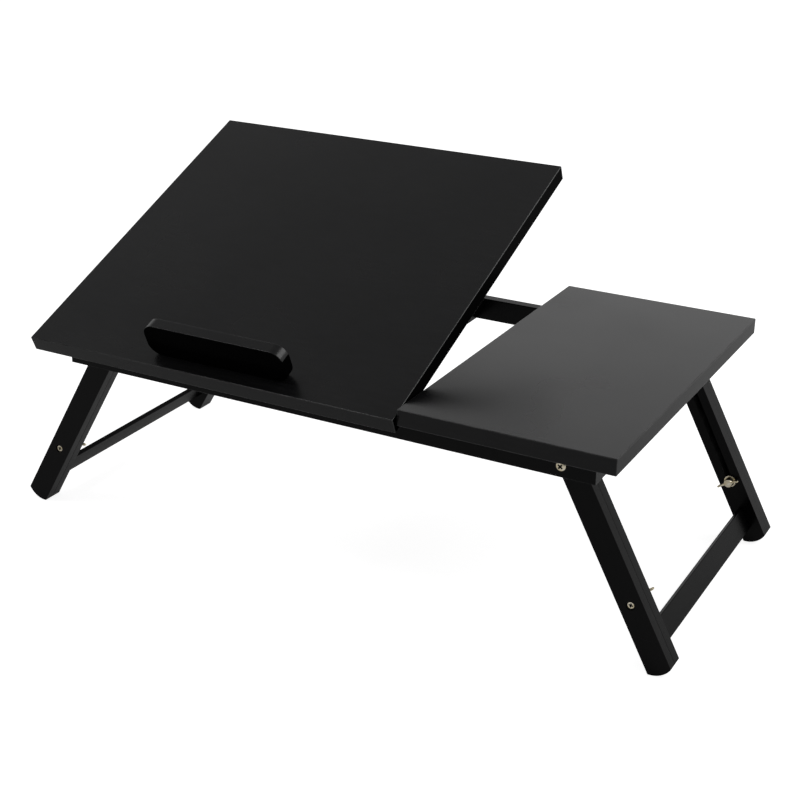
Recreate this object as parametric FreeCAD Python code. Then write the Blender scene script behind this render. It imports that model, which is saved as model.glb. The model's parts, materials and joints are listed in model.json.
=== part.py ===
"""Black bed tray table: a tilting board beside a fixed board, on a rail frame with folding, extending legs.

Sizes are in millimetres. X runs along the table, Y from the user's side to the back, Z up from the floor.
The table is first built about the middle of its two boards. Every piece is then moved so that the middle of
the overall box stands over the origin.
"""

import FreeCAD
import Part
import os
from math import asin, atan2, cos, degrees, hypot, pi, radians, sin, sqrt

# ---- boards ---------------------------------------------------------------------------------------------
table_depth = 350.0
tilt_board_length = 373.3
fixed_board_length = 187.3
board_gap = 0.6
board_thickness = 14.5
board_edge_radius = 1.0
top_height = 198.0
board_tilt = 22.6

# ---- rail frame -----------------------------------------------------------------------------------------
rail_thickness = 10.7
rail_height = 21.8
rail_edge_radius = 0.8
end_overhang = 23.5
front_overhang = 20.2
rear_overhang = 28.3
middle_rail_centre = 7.6
dowel_radius = 3.0
dowel_depth_in_rail = 7.0
dowel_depth_in_end_grain = 18.0
frame_dowel_spacing = 10.0
board_dowel_depth = 9.0
board_dowel_from_left = 37.5
board_dowel_from_right = 62.0

# ---- legs -----------------------------------------------------------------------------------------------
leg_width = 21.7
leg_strip_thickness = 9.8
leg_strip_gap = 0.4
leg_edge_radius = 0.8
right_leg_splay = 27.8
left_leg_splay = 30.5
leg_pivot_above_rail_bottom = 10.5
leg_stop_gap = 0.3
foot_radius = 20.0
lower_leg_top = 13.0
lower_leg_corner_radius = 4.0
clamp_distance = 129.0
leg_travel = 88.0
slot_side_room = 0.25
crossbar_top = 156.5
crossbar_height = 21.4
crossbar_thickness = 4.5
crossbar_offset = -1.0
crossbar_tenon = 4.0

# ---- leg fasteners --------------------------------------------------------------------------------------
bolt_radius = 2.5
bolt_recess_width = 1.3
turning_clearance = 0.05
running_gap = 0.3
spacer_washer_thickness = 1.2
spacer_washer_radius = 6.5
pivot_head_radius = 4.5
pivot_head_crown_radius = 3.2
pivot_head_height = 2.8
pivot_recess_length = 5.0
pivot_recess_depth = 1.6
pivot_washer_thickness = 0.8
pivot_washer_radius = 5.2
nut_sides = 6
nut_across_flats = 8.0
nut_height = 4.0
clamp_head_radius = 3.2
clamp_head_depth = 1.4
clamp_head_sink = 0.8
clamp_mouth_radius = 4.0
clamp_recess_length = 4.2
clamp_washer_thickness = 1.0
clamp_washer_radius = 5.5
wing_nut_radius = 4.5
wing_nut_top_radius = 3.6
wing_nut_height = 5.5
wing_thickness = 2.0
wing_span = 21.0
wing_height = 8.5
wing_root_radius = 2.25
wing_root_bottom = 0.4
wing_root_top = 4.4
wing_side_bottom = 0.8
wing_tip_drop = 2.3
wing_tip_slant = 0.7
wing_tip_width = 3.7

# ---- stopper on the tilting board -----------------------------------------------------------------------
stopper_length = 142.4
stopper_height = 33.0
stopper_thickness = 11.0
stopper_corner_radius = 12.0
stopper_from_front = 13.6
stopper_from_left = 126.1
stopper_screw_inset = 27.8

# ---- hinges under the tilting board's front edge --------------------------------------------------------
hinge_length = 50.0
hinge_from_board_end = 95.0
hinge_knuckle_count = 5
hinge_knuckle_radius = 3.2
hinge_knuckle_gap = 0.3
hinge_leaf_width = 12.0
hinge_leaf_thickness = 1.5
hinge_drop = 4.0
hinge_pin_radius = 1.3
leaf_screw_spacing = 16.7

# ---- prop that holds the board up -----------------------------------------------------------------------
prop_pivot_distance = 145.0
prop_arm_length = 108.0
prop_arm_height = 7.0
prop_arm_thickness = 3.0
prop_arm_inset = 28.0
prop_rod_radius = 2.5
prop_rod_end_gap = 1.5
prop_pin_radius = 1.5
prop_pin_head_radius = 2.6
prop_pin_head_height = 1.0
bracket_thickness = 1.5
bracket_length = 30.0
bracket_width = 14.0
bracket_screw_offset = 10.0
rack_thickness = 8.0
rack_notch_radius = 2.9
rack_notch_depth = 2.0
rack_clearance = 0.3
rack_end_margin = 8.0
rack_screw_height = 5.4
rack_tilts = (22.6, 18.5, 14.0, 8.0)
rod_path_steps = 60

# ---- wood screws ----------------------------------------------------------------------------------------
screw_radius = 1.5
screw_head_radius = 2.9
screw_head_depth = 1.4
screw_tip_length = 2.5
screw_tip_radius = 0.2
screw_recess_width = 1.0
screw_recess_length = 3.8
recess_depth = 1.2
leaf_screw_length = 9.0
rack_screw_length = 14.0
stopper_screw_length = 30.0

# ---- places that follow from the sizes above ------------------------------------------------------------
table_length = tilt_board_length + board_gap + fixed_board_length
left_edge = -table_length / 2
right_edge = table_length / 2
front_edge = -table_depth / 2
rear_edge = table_depth / 2
tilt_board_right = left_edge + tilt_board_length
fixed_board_left = tilt_board_right + board_gap
board_underside = top_height - board_thickness
rail_bottom = board_underside - rail_height
frame_left = left_edge + end_overhang
frame_right = right_edge - end_overhang
front_rail_face = front_edge + front_overhang
front_rail_inside = front_rail_face + rail_thickness
rear_rail_face = rear_edge - rear_overhang
rear_rail_inside = rear_rail_face - rail_thickness
end_rail_inside = frame_right - rail_thickness
middle_rail_left = middle_rail_centre - rail_thickness / 2
middle_rail_right = middle_rail_left + rail_thickness
hinge_y = front_rail_face - hinge_drop
hinge_z = board_underside - hinge_drop
leg_pivot_z = rail_bottom + leg_pivot_above_rail_bottom
leg_stack = 2 * leg_strip_thickness + leg_strip_gap
leg_half = leg_width / 2
slot_half = bolt_radius + slot_side_room
lower_leg_offset = leg_strip_thickness + leg_strip_gap
# How far cutting shapes reach past the faces that they cut, and how near two places count as one.
overcut = 1.0
same_place = 1e-6
X_AXIS = FreeCAD.Vector(1, 0, 0)
Y_AXIS = FreeCAD.Vector(0, 1, 0)


def vector(x, y, z):
    return FreeCAD.Vector(x, y, z)


def box(low, high):
    """A box between two opposite corners."""
    size = [high[i] - low[i] for i in range(3)]
    return Part.makeBox(size[0], size[1], size[2], vector(*low))


def rounded_box(low, high, radius, directions="xyz"):
    """A box whose edges are rounded where they run along the named directions."""
    solid = box(low, high)
    chosen = []
    for edge in solid.Edges:
        along = edge.Vertexes[-1].Point - edge.Vertexes[0].Point
        spans = {"x": abs(along.x), "y": abs(along.y), "z": abs(along.z)}
        if max(spans, key=spans.get) in directions:
            chosen.append(edge)
    return solid.makeFillet(radius, chosen)


def rod(radius, start, end):
    """A round rod between two points."""
    axis = vector(*end) - vector(*start)
    return Part.makeCylinder(radius, axis.Length, vector(*start), axis)


def cone(start_radius, end_radius, start, end):
    axis = vector(*end) - vector(*start)
    return Part.makeCone(start_radius, end_radius, axis.Length, vector(*start), axis)


def step(point, direction, distance):
    """The point reached from a point by a distance along a unit direction."""
    return tuple(point[i] + direction[i] * distance for i in range(3))


def cut_all(piece, tools):
    for tool in tools:
        piece = piece.cut(tool)
    return piece


def cross_recess(head_centre, inward, depth, width, length):
    """Two crossed slots sunk into a screw's head along the inward direction."""
    turn = FreeCAD.Rotation(vector(0, 0, 1), vector(*inward))
    slots = []
    for size in ((length, width), (width, length)):
        slot = Part.makeBox(size[0], size[1], 2 * depth, vector(-size[0] / 2, -size[1] / 2, -depth))
        slot.Placement = FreeCAD.Placement(vector(*head_centre), turn)
        slots.append(slot)
    return slots[0].fuse(slots[1])


def screw_body(head_centre, inward, length):
    """A countersunk wood screw without its recess, which is also the shape of its hole."""
    head = cone(screw_head_radius, screw_radius, head_centre, step(head_centre, inward, screw_head_depth))
    tip_start = step(head_centre, inward, length - screw_tip_length)
    shank = rod(screw_radius, head_centre, tip_start)
    tip = cone(screw_radius, screw_tip_radius, tip_start, step(head_centre, inward, length))
    return head.fuse([shank, tip]).removeSplitter()


def wood_screw(head_centre, inward, length):
    body = screw_body(head_centre, inward, length)
    return body.cut(cross_recess(head_centre, inward, recess_depth, screw_recess_width, screw_recess_length))


def tilted(shape):
    """The shape turned with the tilting board from flat to its raised rest position."""
    turned = shape.copy()
    turned.rotate(vector(0, hinge_y, hinge_z), X_AXIS, board_tilt)
    return turned


# ---- boards ---------------------------------------------------------------------------------------------
def board(left, right):
    low = (left, front_edge, board_underside)
    high = (right, rear_edge, top_height)
    return rounded_box(low, high, board_edge_radius)


def stopper_span():
    left = left_edge + stopper_from_left
    return left, left + stopper_length


def stopper_plate():
    left, right = stopper_span()
    front = front_edge + stopper_from_front
    low = (left, front, top_height)
    high = (right, front + stopper_thickness, top_height + stopper_height)
    return rounded_box(low, high, stopper_corner_radius, "y")


def stopper_screw_places():
    left, right = stopper_span()
    middle = front_edge + stopper_from_front + stopper_thickness / 2
    places = []
    for x in (left + stopper_screw_inset, right - stopper_screw_inset):
        places.append((x, middle, board_underside))
    return places


# ---- rail frame -----------------------------------------------------------------------------------------
def long_rail(outer_face, inner_face):
    """A rail along the front or the back, from end to end of the frame."""
    low = (frame_left, min(outer_face, inner_face), rail_bottom)
    high = (frame_right, max(outer_face, inner_face), board_underside)
    return rounded_box(low, high, rail_edge_radius, "x")


def cross_rail(left):
    """A rail from the front rail to the rear rail."""
    low = (left, front_rail_inside, rail_bottom)
    high = (left + rail_thickness, rear_rail_inside, board_underside)
    return rounded_box(low, high, rail_edge_radius, "y")


def cross_rail_lefts():
    return {"left_end_rail": frame_left, "middle_rail": middle_rail_left, "right_end_rail": end_rail_inside}


def frame_dowels():
    """Two dowels at each end of each cross rail."""
    dowels = []
    middle_height = (rail_bottom + board_underside) / 2
    for left in cross_rail_lefts().values():
        x = left + rail_thickness / 2
        for z in (middle_height - frame_dowel_spacing / 2, middle_height + frame_dowel_spacing / 2):
            for inside, outward in ((front_rail_inside, -1), (rear_rail_inside, 1)):
                start = (x, inside + outward * dowel_depth_in_rail, z)
                end = (x, inside - outward * dowel_depth_in_end_grain, z)
                dowels.append(rod(dowel_radius, start, end))
    return dowels


def board_dowel_places():
    """Places of the dowels that carry the fixed board on the front and rear rails."""
    places = []
    first = fixed_board_left + board_dowel_from_left
    last = right_edge - board_dowel_from_right
    for x in (first, (fixed_board_left + right_edge) / 2, last):
        for face, inside in ((front_rail_face, front_rail_inside), (rear_rail_face, rear_rail_inside)):
            places.append((x, (face + inside) / 2, board_underside))
    return places


def board_dowels():
    dowels = []
    for place in board_dowel_places():
        start = step(place, (0, 0, 1), -board_dowel_depth)
        dowels.append(rod(dowel_radius, start, step(place, (0, 0, 1), board_dowel_depth)))
    return dowels


# ---- hinges ---------------------------------------------------------------------------------------------
def hinge_centres():
    return {"left": left_edge + hinge_from_board_end, "right": tilt_board_right - hinge_from_board_end}


def knuckles(centre, first):
    """Every second knuckle of a hinge, from the first one named."""
    pitch = hinge_length / hinge_knuckle_count
    start = centre - hinge_length / 2
    rings = []
    for index in range(first, hinge_knuckle_count, 2):
        x = start + index * pitch + hinge_knuckle_gap / 2
        end = x + pitch - hinge_knuckle_gap
        rings.append(rod(hinge_knuckle_radius, (x, hinge_y, hinge_z), (end, hinge_y, hinge_z)))
    return rings


def hinge_gaps(centre, first):
    """Notches in a leaf that leave room for the other leaf's knuckles."""
    pitch = hinge_length / hinge_knuckle_count
    reach = hinge_knuckle_radius + hinge_knuckle_gap
    notches = []
    for index in range(first, hinge_knuckle_count, 2):
        x = centre - hinge_length / 2 + index * pitch - hinge_knuckle_gap / 2
        low = (x, hinge_y - reach, hinge_z - reach)
        notches.append(box(low, (x + pitch + hinge_knuckle_gap, hinge_y + reach, hinge_z + reach)))
    return notches


def hinge_rail_leaf(centre):
    """The leaf on the front rail, with the outer knuckles."""
    inner = hinge_drop - hinge_leaf_thickness
    plate = box((centre - hinge_length / 2, hinge_y + inner, hinge_z - hinge_leaf_width),
                (centre + hinge_length / 2, hinge_y + hinge_drop, hinge_z))
    plate = cut_all(plate, hinge_gaps(centre, 1))
    leaf = plate.fuse(knuckles(centre, 0)).removeSplitter()
    pin_hole = rod(hinge_pin_radius, (centre - hinge_length, hinge_y, hinge_z),
                   (centre + hinge_length, hinge_y, hinge_z))
    return cut_all(leaf, [pin_hole] + [screw_body(*place) for place in rail_leaf_screws(centre)])


def hinge_board_leaf(centre):
    """The leaf under the tilting board, with the knuckles between, drawn with the board flat."""
    inner = hinge_drop - hinge_leaf_thickness
    plate = box((centre - hinge_length / 2, hinge_y - hinge_leaf_width, hinge_z + inner),
                (centre + hinge_length / 2, hinge_y, hinge_z + hinge_drop))
    plate = cut_all(plate, hinge_gaps(centre, 0))
    leaf = plate.fuse(knuckles(centre, 1)).removeSplitter()
    bore = rod(hinge_pin_radius + turning_clearance, (centre - hinge_length, hinge_y, hinge_z),
               (centre + hinge_length, hinge_y, hinge_z))
    return cut_all(leaf, [bore] + [screw_body(*place) for place in board_leaf_screws(centre)])


def hinge_pin(centre):
    return rod(hinge_pin_radius, (centre - hinge_length / 2, hinge_y, hinge_z),
               (centre + hinge_length / 2, hinge_y, hinge_z))


def leaf_screw_offset():
    return hinge_knuckle_radius + (hinge_leaf_width - hinge_knuckle_radius) / 2


def rail_leaf_screws(centre):
    face = hinge_y + hinge_drop - hinge_leaf_thickness
    z = hinge_z - leaf_screw_offset()
    screws = []
    for side in (-1, 0, 1):
        screws.append(((centre + side * leaf_screw_spacing, face, z), (0, 1, 0), leaf_screw_length))
    return screws


def board_leaf_screws(centre):
    face = hinge_z + hinge_drop - hinge_leaf_thickness
    y = hinge_y - leaf_screw_offset()
    screws = []
    for side in (-1, 0, 1):
        screws.append(((centre + side * leaf_screw_spacing, y, face), (0, 0, 1), leaf_screw_length))
    return screws


# ---- prop -----------------------------------------------------------------------------------------------
def prop_rest_angle():
    """How far below level the prop's arms lean at rest, with the rod level with the hinges."""
    return degrees(asin(prop_pivot_distance * sin(radians(board_tilt)) / prop_arm_length))


def prop_swing():
    """How far the prop turns against the board between flat and the rest position."""
    return board_tilt + prop_rest_angle()


def rod_place(tilt):
    """Where the prop's rod is at a tilt of the board: its Y and Z."""
    lean = radians(prop_rest_angle() * tilt / board_tilt)
    y = hinge_y + prop_pivot_distance * cos(radians(tilt)) + prop_arm_length * cos(lean)
    z = hinge_z + prop_pivot_distance * sin(radians(tilt)) - prop_arm_length * sin(lean)
    return y, z


def lowest_rod_centre():
    """The lowest that the middle of the prop's rod comes on its way between flat and rest."""
    return min(rod_place(board_tilt * index / rod_path_steps)[1] for index in range(rod_path_steps + 1))


def prop_pivot():
    """The prop's turning axis on the raised board: its Y and Z."""
    angle = radians(board_tilt)
    return hinge_y + prop_pivot_distance * cos(angle), hinge_z + prop_pivot_distance * sin(angle)


def prop_arm_lefts():
    """The arms' left faces, each as far from the rail beside it."""
    left = -end_rail_inside + prop_arm_inset
    right = middle_rail_left - prop_arm_inset - prop_arm_thickness
    return {"left": left, "right": right}


def prop_arm(left):
    """A flat bar from its pin on the board to the rod, round at both ends."""
    right = left + prop_arm_thickness
    half = prop_arm_height / 2
    pivot_y, pivot_z = prop_pivot()
    foot_y, foot_z = rod_place(board_tilt)
    bar = box((left, 0, -half), (right, prop_arm_length, half))
    bar.rotate(vector(0, 0, 0), X_AXIS, -prop_rest_angle())
    bar.translate(vector(0, pivot_y, pivot_z))
    eyes = [rod(half, (left, pivot_y, pivot_z), (right, pivot_y, pivot_z)),
            rod(half, (left, foot_y, foot_z), (right, foot_y, foot_z))]
    arm = bar.fuse(eyes).removeSplitter()
    low_x = left - overcut
    high_x = right + overcut
    pin_hole = rod(prop_pin_radius + turning_clearance, (low_x, pivot_y, pivot_z), (high_x, pivot_y, pivot_z))
    rod_hole = rod(prop_rod_radius, (low_x, foot_y, foot_z), (high_x, foot_y, foot_z))
    return cut_all(arm, [pin_hole, rod_hole])


def prop_rod():
    y, z = rod_place(board_tilt)
    left = -end_rail_inside + prop_rod_end_gap
    return rod(prop_rod_radius, (left, y, z), (middle_rail_left - prop_rod_end_gap, y, z))


def bracket_sides(name):
    """The ear's two faces and the way it faces: each ear stands on the inner side of its arm."""
    left = prop_arm_lefts()[name]
    if name == "left":
        near = left + prop_arm_thickness + running_gap
        return near, near + bracket_thickness, 1
    near = left - running_gap
    return near - bracket_thickness, near, -1


def flat_prop_pivot_y():
    return hinge_y + prop_pivot_distance


def prop_bracket(name):
    """An angle plate under the board whose ear carries the prop's pin, drawn with the board flat."""
    low_x, high_x, side = bracket_sides(name)
    y = flat_prop_pivot_y()
    half = prop_arm_height / 2
    plate_start = low_x if side > 0 else high_x - bracket_width
    plate = box((plate_start, y - bracket_length / 2, board_underside - bracket_thickness),
                (plate_start + bracket_width, y + bracket_length / 2, board_underside))
    ear = box((low_x, y - half, hinge_z), (high_x, y + half, board_underside))
    tip = rod(half, (low_x, y, hinge_z), (high_x, y, hinge_z))
    bracket = plate.fuse([ear, tip]).removeSplitter()
    hole = rod(prop_pin_radius, (low_x - overcut, y, hinge_z), (high_x + overcut, y, hinge_z))
    return cut_all(bracket, [hole] + [screw_body(*place) for place in bracket_screws(name)])


def bracket_screws(name):
    low_x, high_x, side = bracket_sides(name)
    x = (low_x if side > 0 else high_x) + side * (bracket_width + bracket_thickness) / 2
    face = board_underside - bracket_thickness
    y = flat_prop_pivot_y()
    return [((x, y + end * bracket_screw_offset, face), (0, 0, 1), leaf_screw_length) for end in (-1, 1)]


def prop_pin(name):
    """A headed pin through the arm and the ear, peened over on the far side of the ear."""
    low_x, high_x, side = bracket_sides(name)
    y = flat_prop_pivot_y()
    arm_left = prop_arm_lefts()[name]
    arm_outer = arm_left if side > 0 else arm_left + prop_arm_thickness
    ear_far = high_x if side > 0 else low_x
    head_face = arm_outer - side * running_gap
    head_end = head_face - side * prop_pin_head_height
    tail_end = ear_far + side * prop_pin_head_height / 2
    shank = rod(prop_pin_radius, (head_end, y, hinge_z), (tail_end, y, hinge_z))
    head = rod(prop_pin_head_radius, (head_end, y, hinge_z), (head_face, y, hinge_z))
    tail = rod((prop_pin_radius + prop_pin_head_radius) / 2, (ear_far, y, hinge_z), (tail_end, y, hinge_z))
    return shank.fuse([head, tail]).removeSplitter()


def rack(left):
    """A notched strip that the prop's rod stands in, one shallow notch for each tilt."""
    crest = lowest_rod_centre() - prop_rod_radius - rack_clearance
    places = [rod_place(tilt)[0] for tilt in rack_tilts]
    low = (left, min(places) - rack_end_margin, rail_bottom)
    high = (left + rack_thickness, rod_place(0)[0] + rack_end_margin, crest)
    strip = box(low, high)
    notches = []
    for y in places:
        z = crest - rack_notch_depth + rack_notch_radius
        start = (left - overcut, y, z)
        notches.append(rod(rack_notch_radius, start, (left + rack_thickness + overcut, y, z)))
    return cut_all(strip, notches)


def rack_lefts():
    return {"left": -end_rail_inside, "right": middle_rail_left - rack_thickness}


def rack_screws(name):
    left = rack_lefts()[name]
    head_x = left + rack_thickness if name == "left" else left
    direction = (-1, 0, 0) if name == "left" else (1, 0, 0)
    low_y = rod_place(rack_tilts[0])[0]
    high_y = rod_place(0)[0]
    z = rail_bottom + rack_screw_height
    return [((head_x, y, z), direction, rack_screw_length) for y in (low_y, high_y)]


# ---- legs -----------------------------------------------------------------------------------------------
class LegPair:
    """One end's front and rear legs, with their splay and the places that follow from it."""

    def __init__(self, side, splay):
        self.side = side
        self.splay = splay
        angle = radians(splay)
        self.turn = -side * splay
        reach = (leg_half + leg_stop_gap + leg_pivot_above_rail_bottom * sin(angle)) / cos(angle)
        self.pivot_x = side * (end_rail_inside - reach)
        self.foot_centre = (leg_pivot_z - foot_radius) / cos(angle)
        self.direction = (side * sin(angle), 0.0, -cos(angle))

    def place(self, shape):
        """Turn a shape drawn hanging straight down from the origin to the leg's place."""
        placed = shape.copy()
        placed.rotate(vector(0, 0, 0), Y_AXIS, self.turn)
        placed.translate(vector(self.pivot_x, 0, leg_pivot_z))
        return placed


leg_pairs = {"left": LegPair(-1, left_leg_splay), "right": LegPair(1, right_leg_splay)}


class LegPlace:
    """A leg's two strips across the table's depth: the outer face next to its rail, and the way inwards."""

    def __init__(self, rail_inside, rail_face, inward):
        self.rail_inside = rail_inside
        self.rail_face = rail_face
        self.inward = inward
        self.outer = rail_inside + inward * spacer_washer_thickness
        self.seam = self.outer + inward * leg_strip_thickness
        self.lower_outer = self.outer + inward * lower_leg_offset
        self.inner = self.outer + inward * leg_stack


leg_places = {
    "front": LegPlace(front_rail_inside, front_rail_face, 1),
    "rear": LegPlace(rear_rail_inside, rear_rail_face, -1),
}


def foot_arc_points(foot_centre):
    """The two ends and the middle of a foot's rounded end, as places along X and Z below the pivot."""
    drop = sqrt(foot_radius ** 2 - leg_half ** 2)
    return ((leg_half, -(foot_centre + drop)), (0.0, -(foot_centre + foot_radius)),
            (-leg_half, -(foot_centre + drop)))


def extruded(edges, low_y, high_y):
    face = Part.Face(Part.Wire(edges))
    solid = face.extrude(vector(0, high_y - low_y, 0))
    solid.translate(vector(0, low_y, 0))
    return solid


def rounded_strip(solid, radius, low_y, high_y):
    """Round the rim of a strip's two faces."""
    rims = []
    for edge in solid.Edges:
        ys = [vertex.Point.y for vertex in edge.Vertexes]
        flat = max(ys) - min(ys) < same_place
        if flat and min(abs(ys[0] - low_y), abs(ys[0] - high_y)) < same_place:
            rims.append(edge)
    return solid.makeFillet(radius, rims)


def point(pair):
    return vector(pair[0], 0, pair[1])


def upper_leg(pair, place):
    """The outer strip: hung on the rail, round at the top, with the clamp bolt's countersunk hole."""
    right, tip, left = foot_arc_points(pair.foot_centre)
    edges = [
        Part.Arc(vector(-leg_half, 0, 0), vector(0, 0, leg_half), vector(leg_half, 0, 0)).toShape(),
        Part.LineSegment(vector(leg_half, 0, 0), point(right)).toShape(),
        Part.Arc(point(right), point(tip), point(left)).toShape(),
        Part.LineSegment(point(left), vector(-leg_half, 0, 0)).toShape(),
    ]
    low_y, high_y = sorted((place.outer, place.seam))
    strip = rounded_strip(extruded(edges, low_y, high_y), leg_edge_radius, low_y, high_y)
    bore = rod(bolt_radius + turning_clearance, (0, low_y - overcut, 0), (0, high_y + overcut, 0))
    mouth_start = (0, place.outer, -clamp_distance)
    mouth = rod(clamp_mouth_radius, mouth_start, clamp_head_face(place))
    return pair.place(cut_all(strip, [bore, mouth, clamp_bolt_body(place)]))


def lower_leg(pair, place):
    """The inner strip: slotted for the clamp bolt, with a mortise for the crossbar."""
    right, tip, left = foot_arc_points(pair.foot_centre)
    top = -lower_leg_top
    corner = lower_leg_corner_radius
    middle = corner * (1 - cos(radians(45)))
    shoulder = leg_half - corner
    edges = [
        Part.LineSegment(vector(-shoulder, 0, top), vector(shoulder, 0, top)).toShape(),
        Part.Arc(vector(shoulder, 0, top), vector(leg_half - middle, 0, top - middle),
                 vector(leg_half, 0, top - corner)).toShape(),
        Part.LineSegment(vector(leg_half, 0, top - corner), point(right)).toShape(),
        Part.Arc(point(right), point(tip), point(left)).toShape(),
        Part.LineSegment(point(left), vector(-leg_half, 0, top - corner)).toShape(),
        Part.Arc(vector(-leg_half, 0, top - corner), vector(middle - leg_half, 0, top - middle),
                 vector(-shoulder, 0, top)).toShape(),
    ]
    low_y, high_y = sorted((place.lower_outer, place.inner))
    strip = rounded_strip(extruded(edges, low_y, high_y), leg_edge_radius, low_y, high_y)
    strip = strip.cut(clamp_slot(low_y, high_y))
    return pair.place(strip).cut(crossbar(pair))


def slot_ends():
    """Where the slot's round ends are centred, as distances down the leg."""
    play = slot_half - bolt_radius
    return clamp_distance - leg_travel - play, clamp_distance + play


def clamp_slot(low_y, high_y):
    top, bottom = slot_ends()
    start_y = low_y - overcut
    end_y = high_y + overcut
    middle = box((-slot_half, start_y, -bottom), (slot_half, end_y, -top))
    ends = [rod(slot_half, (0, start_y, -distance), (0, end_y, -distance)) for distance in (top, bottom)]
    return middle.fuse(ends)


def crossbar(pair):
    """The bar between the lower legs, tenoned into both."""
    centre = pair.side * crossbar_offset
    low = (centre - crossbar_thickness / 2, leg_places["front"].inner - crossbar_tenon,
           -crossbar_top - crossbar_height)
    high = (centre + crossbar_thickness / 2, leg_places["rear"].inner + crossbar_tenon, -crossbar_top)
    return pair.place(rounded_box(low, high, leg_edge_radius, "y"))


# ---- leg fasteners --------------------------------------------------------------------------------------
def clamp_head_face(place):
    """Where the middle of a clamp bolt's head lies, a little inside the leg's outer face."""
    return (0, place.outer + place.inward * clamp_head_sink, -clamp_distance)


def clamp_bolt_body(place):
    """The clamp bolt without its recess: a countersunk head in the mouth of its hole, and a long shank."""
    inward = (0, place.inward, 0)
    face = clamp_head_face(place)
    head_end = step(face, inward, clamp_head_depth)
    length = leg_stack + clamp_washer_thickness + 2 * running_gap + wing_nut_height - clamp_head_sink
    head = cone(clamp_head_radius, bolt_radius, face, head_end)
    shank = rod(bolt_radius, face, step(face, inward, length))
    return head.fuse(shank).removeSplitter()


def clamp_bolt(pair, place):
    body = clamp_bolt_body(place)
    recess = cross_recess(clamp_head_face(place), (0, place.inward, 0), recess_depth, bolt_recess_width,
                          clamp_recess_length)
    return pair.place(body.cut(recess))


def washer(radius, bore, start, end):
    return rod(radius, start, end).cut(rod(bore, start, end))


def clamp_washer(pair, place):
    inward = (0, place.inward, 0)
    start = step((0, place.inner, -clamp_distance), inward, running_gap)
    ring = washer(clamp_washer_radius, bolt_radius + turning_clearance, start,
                  step(start, inward, clamp_washer_thickness))
    return pair.place(ring)


def wing_outline(y, inward):
    """One wing's outline from the nut's side to its tip, across the leg and along the bolt."""
    half = wing_span / 2
    return [
        vector(wing_root_radius, y + inward * wing_root_bottom, 0),
        vector(wing_nut_radius, y + inward * wing_side_bottom, 0),
        vector(half, y + inward * (wing_height - wing_tip_drop), 0),
        vector(half - wing_tip_slant, y + inward * wing_height, 0),
        vector(half - wing_tip_width, y + inward * wing_height, 0),
        vector(wing_root_radius, y + inward * wing_root_top, 0),
    ]


def wing_nut(pair, place):
    """A round nut with two upswept wings across the leg."""
    inward = place.inward
    start_y = place.inner + inward * (clamp_washer_thickness + 2 * running_gap)
    top_y = start_y + inward * wing_nut_height
    base = cone(wing_nut_radius, wing_nut_top_radius, (0, start_y, 0), (0, top_y, 0))
    pieces = []
    for side in (1, -1):
        points = wing_outline(start_y, inward)
        for corner in points:
            corner.x = side * corner.x
        face = Part.Face(Part.makePolygon(points + [points[0]]))
        wing = face.extrude(vector(0, 0, wing_thickness))
        wing.translate(vector(0, 0, -wing_thickness / 2))
        pieces.append(wing)
    nut = base.fuse(pieces).removeSplitter()
    bore_start = (0, start_y - inward * overcut, 0)
    bore_end = (0, start_y + inward * wing_height, 0)
    nut = nut.cut(rod(bolt_radius + turning_clearance, bore_start, bore_end))
    nut.translate(vector(0, 0, -clamp_distance))
    return pair.place(nut)


def pivot_head(place):
    """The pan head of a pivot bolt, against the rail's outer face."""
    outward = -place.inward
    face_y = place.rail_face
    drum_height = pivot_head_height / 2
    drum = rod(pivot_head_radius, (0, face_y, 0), (0, face_y + outward * drum_height, 0))
    dome = cone(pivot_head_radius, pivot_head_crown_radius, (0, face_y + outward * drum_height, 0),
                (0, face_y + outward * pivot_head_height, 0))
    return drum.fuse(dome)


def pivot_bolt(pair, place):
    """A pan-head bolt through the rail and the upper leg, with its nut on the inside."""
    end_y = place.seam + place.inward * (running_gap + pivot_washer_thickness + nut_height)
    shank = rod(bolt_radius, (0, place.rail_face, 0), (0, end_y, 0))
    head_top = (0, place.rail_face - place.inward * pivot_head_height, 0)
    recess = cross_recess(head_top, (0, place.inward, 0), pivot_recess_depth, bolt_recess_width,
                          pivot_recess_length)
    return pair.place(pivot_head(place).fuse(shank).removeSplitter().cut(recess))


def spacer_washer(pair, place):
    """The washer between the rail and the leg."""
    ring = washer(spacer_washer_radius, bolt_radius, (0, place.rail_inside, 0),
                  (0, place.outer - place.inward * running_gap, 0))
    return pair.place(ring)


def nut_start(place):
    return place.seam + place.inward * (running_gap + pivot_washer_thickness)


def pivot_washer(pair, place):
    start_y = place.seam + place.inward * running_gap
    return pair.place(washer(pivot_washer_radius, bolt_radius, (0, start_y, 0), (0, nut_start(place), 0)))


def pivot_nut(pair, place):
    corner = nut_across_flats / 2 / cos(pi / nut_sides)
    points = []
    for index in range(nut_sides):
        angle = 2 * pi * index / nut_sides
        points.append(vector(corner * cos(angle), nut_start(place), corner * sin(angle)))
    outline = Part.makePolygon(points + [points[0]])
    nut = Part.Face(outline).extrude(vector(0, place.inward * nut_height, 0))
    end_y = nut_start(place) + place.inward * nut_height
    return pair.place(nut.cut(rod(bolt_radius, (0, nut_start(place), 0), (0, end_y, 0))))


def pivot_hole(pair, place):
    return pair.place(rod(bolt_radius, (0, place.rail_face, 0), (0, place.rail_inside, 0)))


# ---- joints' travel -------------------------------------------------------------------------------------
def droop_under(run, drop):
    """The least droop below level at which a folded leg passes under a point, given from the leg's pivot."""
    return degrees(atan2(drop, run) + asin((leg_half + leg_stop_gap) / hypot(run, drop)))


def left_fold():
    """The left legs fold until they come near the middle rail, which they pass under when drawn out."""
    run = middle_rail_left - leg_pairs["left"].pivot_x
    return 90.0 + left_leg_splay - droop_under(run, leg_pivot_above_rail_bottom)


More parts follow.
